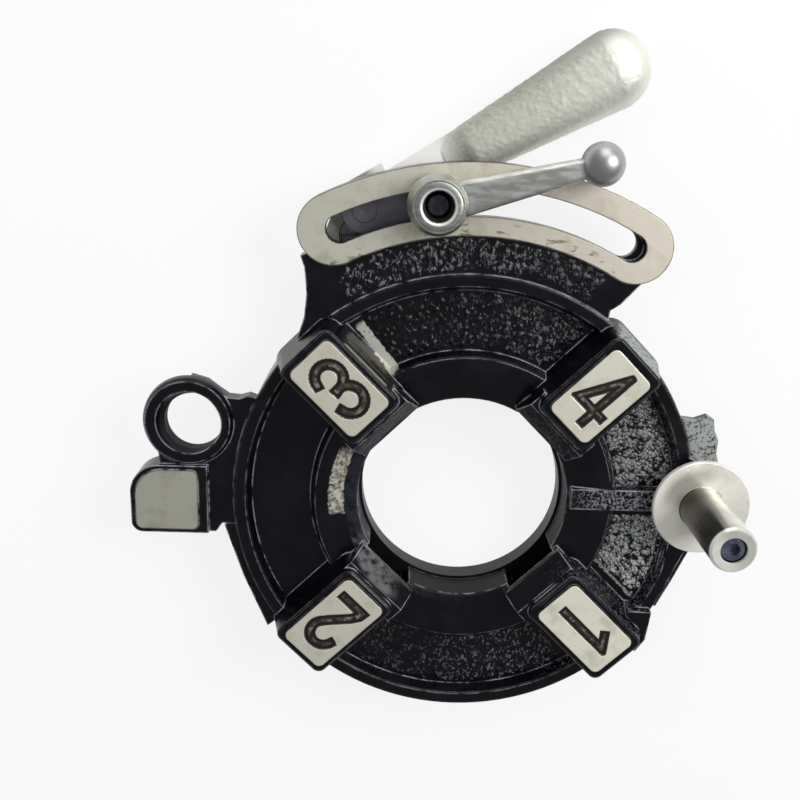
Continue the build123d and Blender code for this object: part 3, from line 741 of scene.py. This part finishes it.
@dataclass(frozen=True)
class TurnedSteel:
    """Turned steel with fine rings round an upright axis, and the post's lights and shades."""

    colour: Colour = (0.62, 0.61, 0.58)
    shadow: Colour = (0.045, 0.040, 0.035)
    light: Colour = (0.98, 0.94, 0.83)
    painted_shade_band: Colour = (0.16, 0.155, 0.125)
    grey: Colour = (0.40, 0.42, 0.38)
    roughness: float = 0.24
    centre: Pair = (0.0, 0.0)
    ring_mm: float = 0.35
    shade: float = 0.0
    matt: float = 0.0
    shaft_mm: float = 9.8
    end_mm: float = 80.6

    def build(self, name: str) -> Material:
        """Makes the material.

        Args:
            name: The material's name.

        Returns:
            The material.
        """
        graph = Graph(name)
        dx, dy, radius = graph.round_axis(self.centre)
        z = graph.axes[2]
        rings = graph.math("SINE", (radius + z) * (2.0 * math.pi / (self.ring_mm * MM)))
        clouds = graph.noise(6.0, 3.0)
        around = (dy * -0.62 - dx * 0.78) / radius
        side, top = self.shaft_mm, self.end_mm
        shaft = z.ramp(top, top - 0.6) * radius.ramp(side, side - 0.2) * self.shade
        collar = radius.ramp(side, side + 0.4) * self.shade
        # painted shade: a dark band on the collar beside the shaft, on its side towards -X and +Y
        painted_shade_mask = ((dy * 0.80 - dx * 0.60) / radius).rise(0.45, 0.95)
        painted_shade_mask = painted_shade_mask * radius.ramp(20.5, 15.0) * collar
        # painted shade: part of the end face is painted grey by its direction round the axis
        end = z.ramp(top + 0.6, top + 1.2) * around.rise(0.9, -0.4) * self.shade
        # painted shadow on the shaft's far side and painted light on the collar's near side
        tone = graph.layers(self.colour, (
            (clouds.rise(0.42, 0.72) * 0.5, tuple(c * 0.72 for c in self.colour)),
            (around.rise(-0.98, 0.10) * shaft, self.shadow),
            (around.rise(-0.9, 0.5) * collar, self.light),
            (painted_shade_mask * 0.72, self.painted_shade_band), (end * 0.75, self.grey),
        ))
        rough = clouds * 0.14 + (self.roughness - 0.06)
        faces = graph.math("MAXIMUM", radius.ramp(side - 0.2, side + 0.2), z.ramp(top, top + 1.0))
        return graph.surface(tone, rough, 0.95 - faces * self.matt, [(rings, 0.006, 0.5)], 0.25)


@dataclass(frozen=True)
class OiledSteel:
    """Dark oiled steel of screws and studs."""

    colour: Colour = (0.055, 0.058, 0.066)
    roughness: float = 0.34

    def build(self, name: str) -> Material:
        """Makes the material.

        Args:
            name: The material's name.

        Returns:
            The material.
        """
        graph = Graph(name)
        clouds = graph.noise(2.5, 3.0)
        tone = graph.mix(clouds.rise(0.4, 0.7), self.colour, tuple(c * 1.9 for c in self.colour))
        return graph.surface(
            tone, clouds * 0.2 + (self.roughness - 0.1), 0.85,
            [(graph.noise(0.5, 2.0), 0.02, 0.5)], 0.25,
        )


Finish = Union[PebbledEnamel, BodyFinish, NumberedPad, SandCastMetal, ForgedSteel, TurnedSteel,
               OiledSteel]


def closed_piece(
    name: str, points: Array, faces: Sequence[Sequence[int]], finish: Finish
) -> bpy.types.Object:
    """Adds a closed, smooth piece whose faces are turned outward.

    Args:
        name: Name of the piece and of its material.
        points: Points in metres.
        faces: Numbers of each face's points.
        finish: What its material comes from.

    Returns:
        The new object.
    """
    mesh = bpy.data.meshes.new(name)
    mesh.from_pydata(points.reshape(-1, 3).tolist(), [], faces)
    work = bmesh.new()
    work.from_mesh(mesh)
    bmesh.ops.recalc_face_normals(work, faces=work.faces)
    work.to_mesh(mesh)
    work.free()
    mesh.polygons.foreach_set("use_smooth", [True] * len(mesh.polygons))
    mesh.materials.append(finish.build(name))
    piece = bpy.data.objects.new(name, mesh)
    bpy.context.scene.collection.objects.link(piece)
    LOG.info("%s: %d faces", name, len(mesh.polygons))
    return piece


def sheet_solid(name: str, top: Array, base_mm: float, finish: Finish) -> bpy.types.Object:
    """Closed solid between a grid of points and a level.

    Args:
        name: Name of the piece.
        top: Grid of points, rows by columns by 3, in millimetres.
        base_mm: Height of the flat underside.
        finish: What its material comes from.

    Returns:
        The new object.
    """
    under = top.copy()
    under[..., 2] = base_mm
    grid = np.arange(top[..., 0].size).reshape(top.shape[:2])
    low = grid + grid.size
    rim = np.concatenate([grid[0, :-1], grid[:-1, -1], grid[-1, :0:-1], grid[:0:-1, 0]])
    ahead = np.roll(rim, -1)
    faces = [
        np.stack([grid[:-1, :-1], grid[1:, :-1], grid[1:, 1:], grid[:-1, 1:]], -1),
        np.stack([low[:-1, :-1], low[:-1, 1:], low[1:, 1:], low[1:, :-1]], -1),
        np.stack([rim, ahead, ahead + grid.size, rim + grid.size], -1),
    ]
    quads = np.concatenate([part.reshape(-1, 4) for part in faces]).tolist()
    return closed_piece(name, np.stack([top, under]) * MM, quads, finish)


def grain_height(points: Array, cell_mm: float, shift: float) -> Array:
    """Height of sand grain at each point, from 0 in the crevices to 1 on the crests.

    Args:
        points: Grid of points in millimetres.
        cell_mm: Mean size of a grain.
        shift: Moves the pattern, so that two skins differ.

    Returns:
        A grid of heights.
    """
    flat = points.reshape(-1, 3)
    found = np.empty(len(flat))
    offset = Vector((shift, shift * 1.7, shift * 0.3))
    for i, point in enumerate(flat):
        spot = Vector(point) / cell_mm + offset
        near = noise.voronoi(spot)[0]
        wave = noise.noise(spot * 0.9)
        found[i] = (near[1] - near[0]) * 1.5 + wave * 0.45
    heights = np.clip(found, 0.0, 1.0).reshape(points.shape[:2])
    return heights * heights * (3.0 - 2.0 * heights)


@dataclass
class Skin:
    """A pebbled skin that lies on one face of the casting."""

    name: str
    finish: PebbledEnamel
    floor_mm: float = 24.0
    crest_mm: float = 0.75
    cell_mm: float = 2.7
    step_mm: float = 0.62
    sunk_mm: float = 0.12
    depth_mm: float = 0.5

    def build(self, outline: Outline, size: Pair, shift: float) -> None:
        """Makes the skin as a closed piece on the body.

        Args:
            outline: Maps two grids from 0 to 1 to X and Y in millimetres.
            size: Lengths of the two sides in millimetres.
            shift: Moves the grain's pattern.
        """
        rows, cols = (int(length / self.step_mm) + 2 for length in size)
        u, v = np.meshgrid(np.linspace(0, 1, rows), np.linspace(0, 1, cols), indexing="ij")
        x, y = outline(u, v)
        top = np.stack([x, y, np.full_like(x, self.floor_mm)], -1)
        inside = np.minimum(np.minimum(u, 1 - u) * size[0], np.minimum(v, 1 - v) * size[1])
        ragged = grain_height(top, 5.5, shift + 11.0) * 1.6
        fade = smooth_step(inside - ragged, -0.6, 2.2)
        raised = self.crest_mm * grain_height(top, self.cell_mm, shift)
        top[..., 2] += -self.sunk_mm + fade * (0.14 + raised)
        piece = sheet_solid(self.name, top, self.floor_mm - self.depth_mm, self.finish)
        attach(piece, "body")


@dataclass
class CastingSkins:
    """Pebbled floors of four pockets and the web of the quadrant."""

    boss_side_mm: float = 18.3
    web_mm: float = 29.2

    def pocket(self, angles: Pair, sides: Pair, radii: Pair) -> Outline:
        """Outline of a pocket floor between two straight-sided neighbours.

        Args:
            angles: Middle angle of each neighbour.
            sides: Half-width of each neighbour.
            radii: Inner and outer radius.

        Returns:
            The outline's function.
        """
        def outline(u: Array, v: Array) -> tuple[Array, Array]:
            """Maps the unit square to the floor.

            Args:
                u: Share of the way out.
                v: Share of the way round.

            Returns:
                X and Y in millimetres.
            """
            radius = radii[0] + (radii[1] - radii[0]) * u
            first = math.radians(angles[0]) + np.arcsin(sides[0] / radius)
            last = math.radians(angles[1]) - np.arcsin(sides[1] / radius)
            angle = last + (first - last) * v
            return radius * np.cos(angle), radius * np.sin(angle)

        return outline

    def build(self) -> None:
        """Makes every skin of the casting."""
        # each pocket finish paints glint highlights of its own strength on the crests
        painted_dim = PebbledEnamel(
            crest=(0.13, 0.13, 0.14), painted_light_span=(-30.0, 55.0), least=0.10, cover=0.56,
            stretch=(1.3, 0.7, 1.0),
        )
        bright = PebbledEnamel(
            crest=(0.34, 0.35, 0.34), gap=(0.042, 0.043, 0.044), grain_mm=1.05, cover=0.455,
            bare_share=(0.0, 0.10),
        )
        lighter = replace(bright, crest=(0.62, 0.635, 0.615), gap=(0.075, 0.077, 0.078))
        painted_highlight = PebbledEnamel(
            crest=(0.20, 0.20, 0.21), cover=0.55, painted_light_span=(-30.0, 40.0), least=0.35,
            stretch=(1.2, 0.8, 1.0),
        )
        side = self.boss_side_mm
        pockets = (
            ("top", (45.0, 135.0), (side, 22.4), (68.0, 93.4), painted_dim),
            ("right_high", (2.6, 45.0), (3.0, side), (67.2, 94.0), bright),
            ("right_low", (-45.0, 2.6), (24.0, 8.6), (67.2, 94.0), lighter),
            ("bottom", (225.0, 315.0), (side - 1.5, side - 1.8), (68.0, 93.4), painted_highlight),
        )
        for i, (place, angles, sides, radii, finish) in enumerate(pockets):
            turn = math.radians(angles[1] - angles[0])
            size = (radii[1] - radii[0], turn * sum(radii) / 2 - sum(sides))
            skin = Skin(f"pocket_grain_{place}", finish)
            if finish.grain_mm < painted_dim.grain_mm:
                skin = replace(skin, cell_mm=1.9, step_mm=0.45)
            skin.build(self.pocket(angles, sides, radii), size, 3.1 * i + 1.0)
        finish = PebbledEnamel(
            floor_mm=self.web_mm, crest=(0.17, 0.17, 0.18), cover=0.53, bare_share=(0.28, 0.46),
            painted_light_span=(50.0, -15.0), least=0.30, stretch=(1.35, 0.6, 1.0),
        )
        web = Skin("quadrant_web_grain", finish, self.web_mm, 0.6)
        web.build(self.pocket((60.5, 121.0), (1.0, 1.0), (101.5, 116.4)), (14.9, 112.0), 17.0)


@dataclass
class Numeral:
    """A numeral as centre lines in millimetres, with its top along +V."""

    strokes: tuple[tuple[Pair, ...], ...]
    width_mm: float = 4.9
    scale: float = 1.10
    point: float = 1.45

    def distance(self, u: Array, v: Array) -> Array:
        """Distance of each point from the nearest centre line.

        Args:
            u: Place across the numeral.
            v: Place up the numeral.

        Returns:
            A grid of distances in millimetres.
        """
        best = np.full(u.shape, 1e9)
        u, v = u / self.scale, v / self.scale
        for stroke in self.strokes:
            last = len(stroke) - 2
            runs = []
            for (ax, ay), (bx, by) in zip(stroke[:-1], stroke[1:]):
                length = math.hypot(bx - ax, by - ay)
                dx, dy = (bx - ax) / length, (by - ay) / length
                along = (u - ax) * dx + (v - ay) * dy
                runs.append((np.abs((v - ay) * dx - (u - ax) * dy), along, along - length))
            for i, (aside, before, after) in enumerate(runs):
                past = np.maximum(np.maximum(-before, after), 0.0)
                away = np.hypot(aside, past)
                ends = ((before < 0, i > 0, i - 1), (after > 0, i < last, i + 1))
                for outside, there, other in ends:
                    corner = np.maximum(aside, runs[other][0] if there else past)
                    away = np.where(outside, np.maximum(corner, away / self.point), away)
                best = np.minimum(best, away)
        return best * self.scale


def arc_points(centre: Pair, radii: Pair, start: float,
               end: float, count: int = 22) -> tuple[Pair, ...]:
    """Points along part of an ellipse.

    Args:
        centre: Middle of the ellipse.
        radii: Half-widths across and up.
        start: First angle in degrees.
        end: Last angle in degrees.
        count: Number of points.

    Returns:
        The points in order.
    """
    angles = np.radians(np.linspace(start, end, count))
    return tuple(
        (centre[0] + radii[0] * math.cos(a), centre[1] + radii[1] * math.sin(a)) for a in angles
    )


class Digit(Enum):
    """The four plain numerals on the pads."""

    ONE = Numeral((((0.9, -11.2), (0.9, 11.4), (-3.9, 7.4)),), 4.6)
    TWO = Numeral((
        arc_points((0.0, 5.9), (5.3, 5.4), 165.0, -28.0)
        + ((2.6, 0.4), (-3.0, -6.2), (-4.9, -9.4), (-5.1, -11.2), (5.4, -11.2)),
    ))
    THREE = Numeral((
        arc_points((0.0, 5.7), (5.3, 5.5), 170.0, -90.0) + ((-1.2, 0.2),),
        ((-1.2, 0.0),) + arc_points((0.0, -5.5), (5.3, 5.7), 90.0, -170.0),
    ))
    FOUR = Numeral((((2.7, -11.4), (2.7, 11.6), (-5.9, -5.6), (6.3, -5.6)),), 4.5)


@dataclass(frozen=True)
class PadPlace:
    """Where a pad stands round the bore, in degrees and millimetres, with a factor of painted
    light on its face.
    """

    angle: float
    start_mm: float
    end_mm: float
    offset_mm: float = 0.0
    light: float = 1.0


@dataclass
class NumberPads:
    """Milled tops of the four die bosses with their grooved numerals."""

    width_mm: float = 22.8
    corner_mm: float = 3.0
    base_mm: float = 42.45
    top_mm: float = 44.0
    groove_mm: float = 0.52
    ridge_mm: float = 0.26
    round_mm: float = 0.14
    cell_mm: float = 0.24
    places: dict[Digit, PadPlace] = field(default_factory=lambda: {
        Digit.ONE: PadPlace(315.0, 57.0, 97.0, 1.8, 1.24),
        Digit.TWO: PadPlace(225.0, 56.6, 97.4, -1.5, 0.95),
        Digit.THREE: PadPlace(135.0, 57.4, 95.4, 0.0, 0.90),
        Digit.FOUR: PadPlace(45.0, 57.4, 94.6),
    })

    def outline(self, u: Array, v: Array, length_mm: float) -> tuple[Array, Array]:
        """Pulls the corners of the grid in to the pad's rounded outline.

        Args:
            u: Place across the pad.
            v: Place along the pad.
            length_mm: Length of the pad.

        Returns:
            The moved grids.
        """
        reach_u = self.width_mm / 2 - self.corner_mm
        reach_v = length_mm / 2 - self.corner_mm
        over_u = np.maximum(np.abs(u) - reach_u, 0.0)
        over_v = np.maximum(np.abs(v) - reach_v, 0.0)
        both = (over_u > 0) & (over_v > 0)
        flat = np.hypot(over_u, over_v) + 1e-9
        square = np.maximum(over_u, over_v)
        pull = np.where(both, square / flat, 1.0)
        new_u = np.where(both, np.sign(u) * (reach_u + over_u * pull), u)
        new_v = np.where(both, np.sign(v) * (reach_v + over_v * pull), v)
        return new_u, new_v

    def pad(self, digit: Digit, spot: PadPlace) -> None:
        """Makes one pad with its numeral as a closed piece.

        Args:
            digit: The numeral.
            spot: Where the pad stands.
        """
        length_mm = spot.end_mm - spot.start_mm
        u, v = np.meshgrid(*(
            np.linspace(-side / 2, side / 2, int(side / self.cell_mm))
            for side in (self.width_mm, length_mm)
        ), indexing="ij")
        edge = np.minimum(self.width_mm / 2 - np.abs(u), length_mm / 2 - np.abs(v))
        u, v = self.outline(u, v, length_mm)
        numeral = digit.value
        inside = numeral.width_mm / 2 - numeral.distance(u, v)
        depth = self.groove_mm * smooth_step(inside, -0.25, 0.50)
        ridge = self.ridge_mm * smooth_step(inside, 1.0, 2.1)
        round_off = self.round_mm * (1 - smooth_step(edge, 0.0, 0.5))
        height = self.top_mm - depth + ridge - round_off
        turn = math.radians(spot.angle)
        out = np.array([math.cos(turn), math.sin(turn)])
        across = np.array([out[1], -out[0]])
        middle = out * (spot.start_mm + spot.end_mm) / 2 - across * spot.offset_mm
        place = middle + u[..., None] * across + v[..., None] * out
        finish = NumberedPad()
        # painted light: each pad's colour is scaled by its own factor
        finish = replace(finish, colour=tuple(c * spot.light for c in finish.colour))
        piece = sheet_solid(
            f"number_pad_{digit.name.lower()}", np.concatenate([place, height[..., None]], -1),
            self.base_mm, finish,
        )
        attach(piece, "body")

    def build(self) -> None:
        """Makes the four pads."""
        for digit, spot in self.places.items():
            self.pad(digit, spot)


@dataclass
class Grip:
    """Sand-cast skin of the throw-out lever's grip."""

    pin: Pair = (-45.855, 124.803)
    angle: float = 30.4
    start_mm: float = 39.0
    swell_mm: float = 51.0
    centre_mm: float = 114.8
    half_width_mm: float = 16.0
    half_thickness_mm: float = 12.5
    round_count: int = 116

    def sections(self, along: Array) -> tuple[Array, Array, Array]:
        """Half-width, half-thickness and height of the grip's middle.

        Args:
            along: Distances from the link pin.

        Returns:
            Three arrays in millimetres.
        """
        stops = [self.start_mm, self.swell_mm, self.centre_mm]
        width = np.interp(along, stops, [9.5, 10.6, self.half_width_mm])
        thick = np.interp(along, stops, [3.2, 6.5, self.half_thickness_mm])
        middle = np.interp(along, stops, [9.95, 12.0, self.half_thickness_mm + 0.5])
        beyond = np.clip((along - self.centre_mm) / self.half_width_mm, 0.0, 1.0)
        shrink = np.sqrt(np.clip(1.0 - beyond ** 2, 0.0, 1.0))
        return width * shrink, thick * shrink, middle

    def points(self, along: Array, turn: Array, lift: Array) -> Array:
        """Points of the grip, raised from its surface.

        Args:
            along: Distances from the link pin.
            turn: Angles round the grip.
            lift: Height over the surface.

        Returns:
            The points in millimetres.
        """
        width, thick, middle = self.sections(along)
        c, n = math.cos(math.radians(self.angle)), math.sin(math.radians(self.angle))
        side = width * (1.0 + lift / np.maximum(width, 2.0)) * np.cos(turn)
        high = thick * (1.0 + lift / np.maximum(thick, 2.0)) * np.sin(turn)
        x = self.pin[0] + along * c - side * n
        y = self.pin[1] + along * n + side * c
        return np.stack([x, y, middle + high], -1)

    def build(self) -> None:
        """Makes the grip's skin."""
        start = self.start_mm + 1.0
        turns = np.linspace(0.0, math.pi / 2 - 0.02, 30)
        end = self.centre_mm + self.half_width_mm * np.sin(turns)
        along = np.concatenate([np.arange(start, self.centre_mm, 0.75), end])
        around = np.linspace(0.0, 2.0 * math.pi, self.round_count, endpoint=False)
        s, t = np.meshgrid(along, around, indexing="ij")
        grain = grain_height(self.points(s, t, np.zeros_like(s)), 1.9, 31.0)
        soft = smooth_step(s, start, start + 12.0)
        points = self.points(s, t, 0.15 + 0.22 * grain * soft - 1.2 * (1.0 - soft))
        points[..., 2] = np.maximum(points[..., 2], 0.1)
        grid = np.arange(s.size).reshape(s.shape)
        ahead = np.roll(grid, -1, axis=1)
        quads = np.stack([grid[:-1], grid[1:], ahead[1:], ahead[:-1]], -1).reshape(-1, 4)
        faces = quads.tolist() + [grid[0].tolist()[::-1], grid[-1].tolist()]
        # painted light towards the end of the grip and painted light and shadow across it
        finish = SandCastMetal(painted_light_span=(100.0, 150.0), neck=(74.0, 60.0), side=0.75)
        piece = closed_piece("grip_skin", points * MM, faces, finish)
        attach(piece, "throwout_lever")


@dataclass
class TurnedPiece:
    """A ring that is turned from a closed profile round an upright axis."""

    name: str
    centre: Pair
    profile: tuple[Pair, ...]
    node: str
    body: str
    count: int = 96

    def build(self, finish: Finish) -> None:
        """Makes the piece, which rides on its body.

        Args:
            finish: What its material comes from.
        """
        radius, height = (np.array(row, float)[:, None] * MM for row in zip(*self.profile))
        turns = np.linspace(0.0, 2.0 * math.pi, self.count, endpoint=False)
        x = self.centre[0] + radius * np.cos(turns)
        y = self.centre[1] + radius * np.sin(turns)
        grid = np.arange(x.size).reshape(x.shape)
        ahead, over = np.roll(grid, -1, axis=1), np.roll(grid, -1, axis=0)
        quads = np.stack([grid, ahead, np.roll(over, -1, axis=1), over], -1).reshape(-1, 4)
        points = np.stack([x, y, np.broadcast_to(height, x.shape)], -1)
        piece = closed_piece(self.name, points, quads.tolist(), finish)
        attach(piece, self.body)


@dataclass
class LeverTrim:
    """Rounded lip of the clamp lever's hub and the washer on the link's pin."""

    stud: Pair = STUD
    pin: Pair = (-0.045855, 0.124803)

    def build(self, hub: Finish, pin: Finish) -> None:
        """Makes both pieces.

        Args:
            hub: Finish of the clamp lever.
            pin: Finish of the link's pin.
        """
        curve = [
            (7.6 - 1.3 * math.cos(a), 47.35 + 1.05 * math.sin(a))
            for a in np.linspace(0.0, math.pi / 2, 8)
        ]
        lip = (
            (6.3, 40.5), *curve, (8.9, 48.25), (9.9, 48.0), (9.9, 47.8), (8.6, 47.6), (8.6, 40.5),
        )
        TurnedPiece("hub_lip", self.stud, lip, "clamp_lever", "clamp_lever").build(hub)
        cap = (
            (0.05, 19.76), (5.1, 19.76), (5.2, 19.78), (5.2, 19.85), (5.1, 19.90), (4.7, 19.90),
            (0.4, 19.90), (0.05, 19.90),
        )
        TurnedPiece("link_pin_cap", self.pin, cap, "link_pin", "throwout_lever").build(pin)


@dataclass
class NodeFinishes:
    """Finishes of the pieces that come from the frame as they are."""

    post: Pair = (0.1028, 0.0034)
    stud: Pair = STUD
    ball: Point = (0.047090, 0.147141, 0.0431)
    ball_radius: float = 0.0087

    def table(self) -> dict[str, Finish]:
        """Finish of each node.

        Returns:
            The finishes by the node's name.
        """
        mauve = TurnedSteel(colour=(0.29, 0.272, 0.298), roughness=0.45)
        return {
            "head_casting": BodyFinish(),
            "mounting_post": TurnedSteel(
                colour=(0.86, 0.84, 0.75), roughness=0.24, centre=self.post, shade=0.92,
                matt=0.70,
            ),
            "post_screw": OiledSteel(colour=(0.13, 0.14, 0.19)),
            "cam_plate": TurnedSteel(colour=(0.035, 0.036, 0.040), roughness=0.42, ring_mm=0.8),
            "cam_clips": SandCastMetal(colour=(0.42, 0.42, 0.41), crest=(0.55, 0.55, 0.53)),
            "clip_screws": OiledSteel(colour=(0.25, 0.25, 0.26)),
            "throwout_lever": SandCastMetal(neck=(74.0, 60.0)),
            "lever_pivot_screw": OiledSteel(colour=(0.28, 0.28, 0.29)),
            "link": replace(mauve, ring_mm=0.6),
            "link_pin": mauve,
            "clamp_stud": OiledSteel(),
            "clamp_washer": TurnedSteel(colour=(0.5, 0.5, 0.48), centre=self.stud),
            "clamp_lever": ForgedSteel(self.stud, self.ball, self.ball_radius),
        }

    def build(self, nodes: dict[str, bpy.types.Object]) -> None:
        """Puts a finish on every node of the frame.

        Args:
            nodes: The frame's nodes by name.
        """
        finishes = self.table()
        for name, node in nodes.items():
            material = finishes[name].build(name)
            for slot in node.material_slots:
                slot.material = material
            LOG.info("%s: finish %s", name, type(finishes[name]).__name__)


@dataclass
class Studio:
    """Pale floor, soft lamps and the camera."""

    eye: Point = (-0.03172, 0.16407, 0.43989)
    right: Point = (0.99962, 0.02741, -0.00103)
    up: Point = (-0.02663, 0.96066, -0.27643)
    back: Point = (-0.00659, 0.27636, 0.96103)
    lens_mm: float = 44.89
    floor_side: float = 3.0
    glow_share: float = 0.84

    def lamp(
        self, name: str, place: Point, aim: Point, size: float, power: float, mirrored: bool = True
    ) -> None:
        """Adds a soft square lamp.

        Args:
            name: The lamp's name.
            place: Where it stands.
            aim: The point it looks at.
            size: Side of the square.
            power: Power in watts.
            mirrored: Whether shiny faces mirror it.
        """
        data = bpy.data.lights.new(name, "AREA")
        data.size = size
        data.energy = power
        lamp = bpy.data.objects.new(name, data)
        lamp.location = place
        lamp.visible_glossy = mirrored
        turn = (Vector(aim) - Vector(place)).to_track_quat("-Z", "Y")
        lamp.rotation_euler = turn.to_euler()
        bpy.context.scene.collection.objects.link(lamp)

    def floor(self) -> None:
        """Adds the floor, which shows pale to the camera and keeps the shadow."""
        side = self.floor_side
        mesh = bpy.data.meshes.new("floor")
        points = [(-side, -side, 0), (side, -side, 0), (side, side, 0), (-side, side, 0)]
        mesh.from_pydata(points, [], [(0, 1, 2, 3)])
        floor = bpy.data.objects.new("floor", mesh)
        bpy.context.scene.collection.objects.link(floor)
        graph = Graph("floor")
        path = graph.node("ShaderNodeLightPath")
        seen = Value(graph, path.outputs["Is Camera Ray"])
        mirrored = Value(graph, path.outputs["Is Glossy Ray"])
        share = graph.math("MAXIMUM", seen, mirrored) * self.glow_share
        matt = graph.node("ShaderNodeBsdfDiffuse", None, {"Color": (0.86, 0.86, 0.86)})
        glow = graph.node("ShaderNodeEmission", None, {"Color": (1.0, 1.0, 1.0), "Strength": 1.0})
        both = graph.node(
            "ShaderNodeMixShader", None, {0: share, 1: matt.outputs[0], 2: glow.outputs[0]}
        )
        graph.finish(both)
        mesh.materials.append(graph.material)

    def world(self) -> None:
        """Adds an even, dim surrounding."""
        world = bpy.data.worlds.new("surround")
        bpy.context.scene.world = world
        world.use_nodes = True
        ground = world.node_tree.nodes["Background"]
        ground.inputs["Color"].default_value = (0.92, 0.95, 1.0, 1.0)
        ground.inputs["Strength"].default_value = 0.26

    def camera(self) -> None:
        """Adds the camera at the photograph's place."""
        data = bpy.data.cameras.new("camera")
        data.lens = self.lens_mm
        data.sensor_width = 36.0
        data.clip_start = 0.01
        camera = bpy.data.objects.new("camera", data)
        turn = Matrix((self.right, self.up, self.back)).transposed().to_4x4()
        camera.matrix_world = Matrix.Translation(self.eye) @ turn
        bpy.context.scene.collection.objects.link(camera)
        bpy.context.scene.camera = camera

    def build(self) -> None:
        """Sets up floor, lamps, surrounding and camera."""
        self.floor()
        self.world()
        ring, quadrant = (0.0, 0.03, 0.02), (0.0, 0.05, 0.02)
        self.lamp("key", (0.55, 0.35, 0.60), ring, size=0.45, power=5.0)
        self.lamp("fill", (-0.60, 0.30, 0.55), ring, size=0.60, power=2.0, mirrored=False)
        self.lamp("low", (0.10, 0.80, 0.35), quadrant, size=0.50, power=2.0)
        self.camera()
        bpy.context.scene.view_settings.view_transform = "Standard"
        LOG.info("studio: floor, three lamps, camera")


def main() -> None:
    """Loads the frame, dresses it and sets up the studio."""
    logging.basicConfig(level=logging.INFO, format="%(message)s")
    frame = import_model()
    finishes = NodeFinishes()
    finishes.build(frame["nodes"])
    table = finishes.table()
    LeverTrim().build(table["clamp_lever"], table["link_pin"])
    CastingSkins().build()
    NumberPads().build()
    Grip().build()
    Studio().build()


if __name__ == "__main__":
    main()
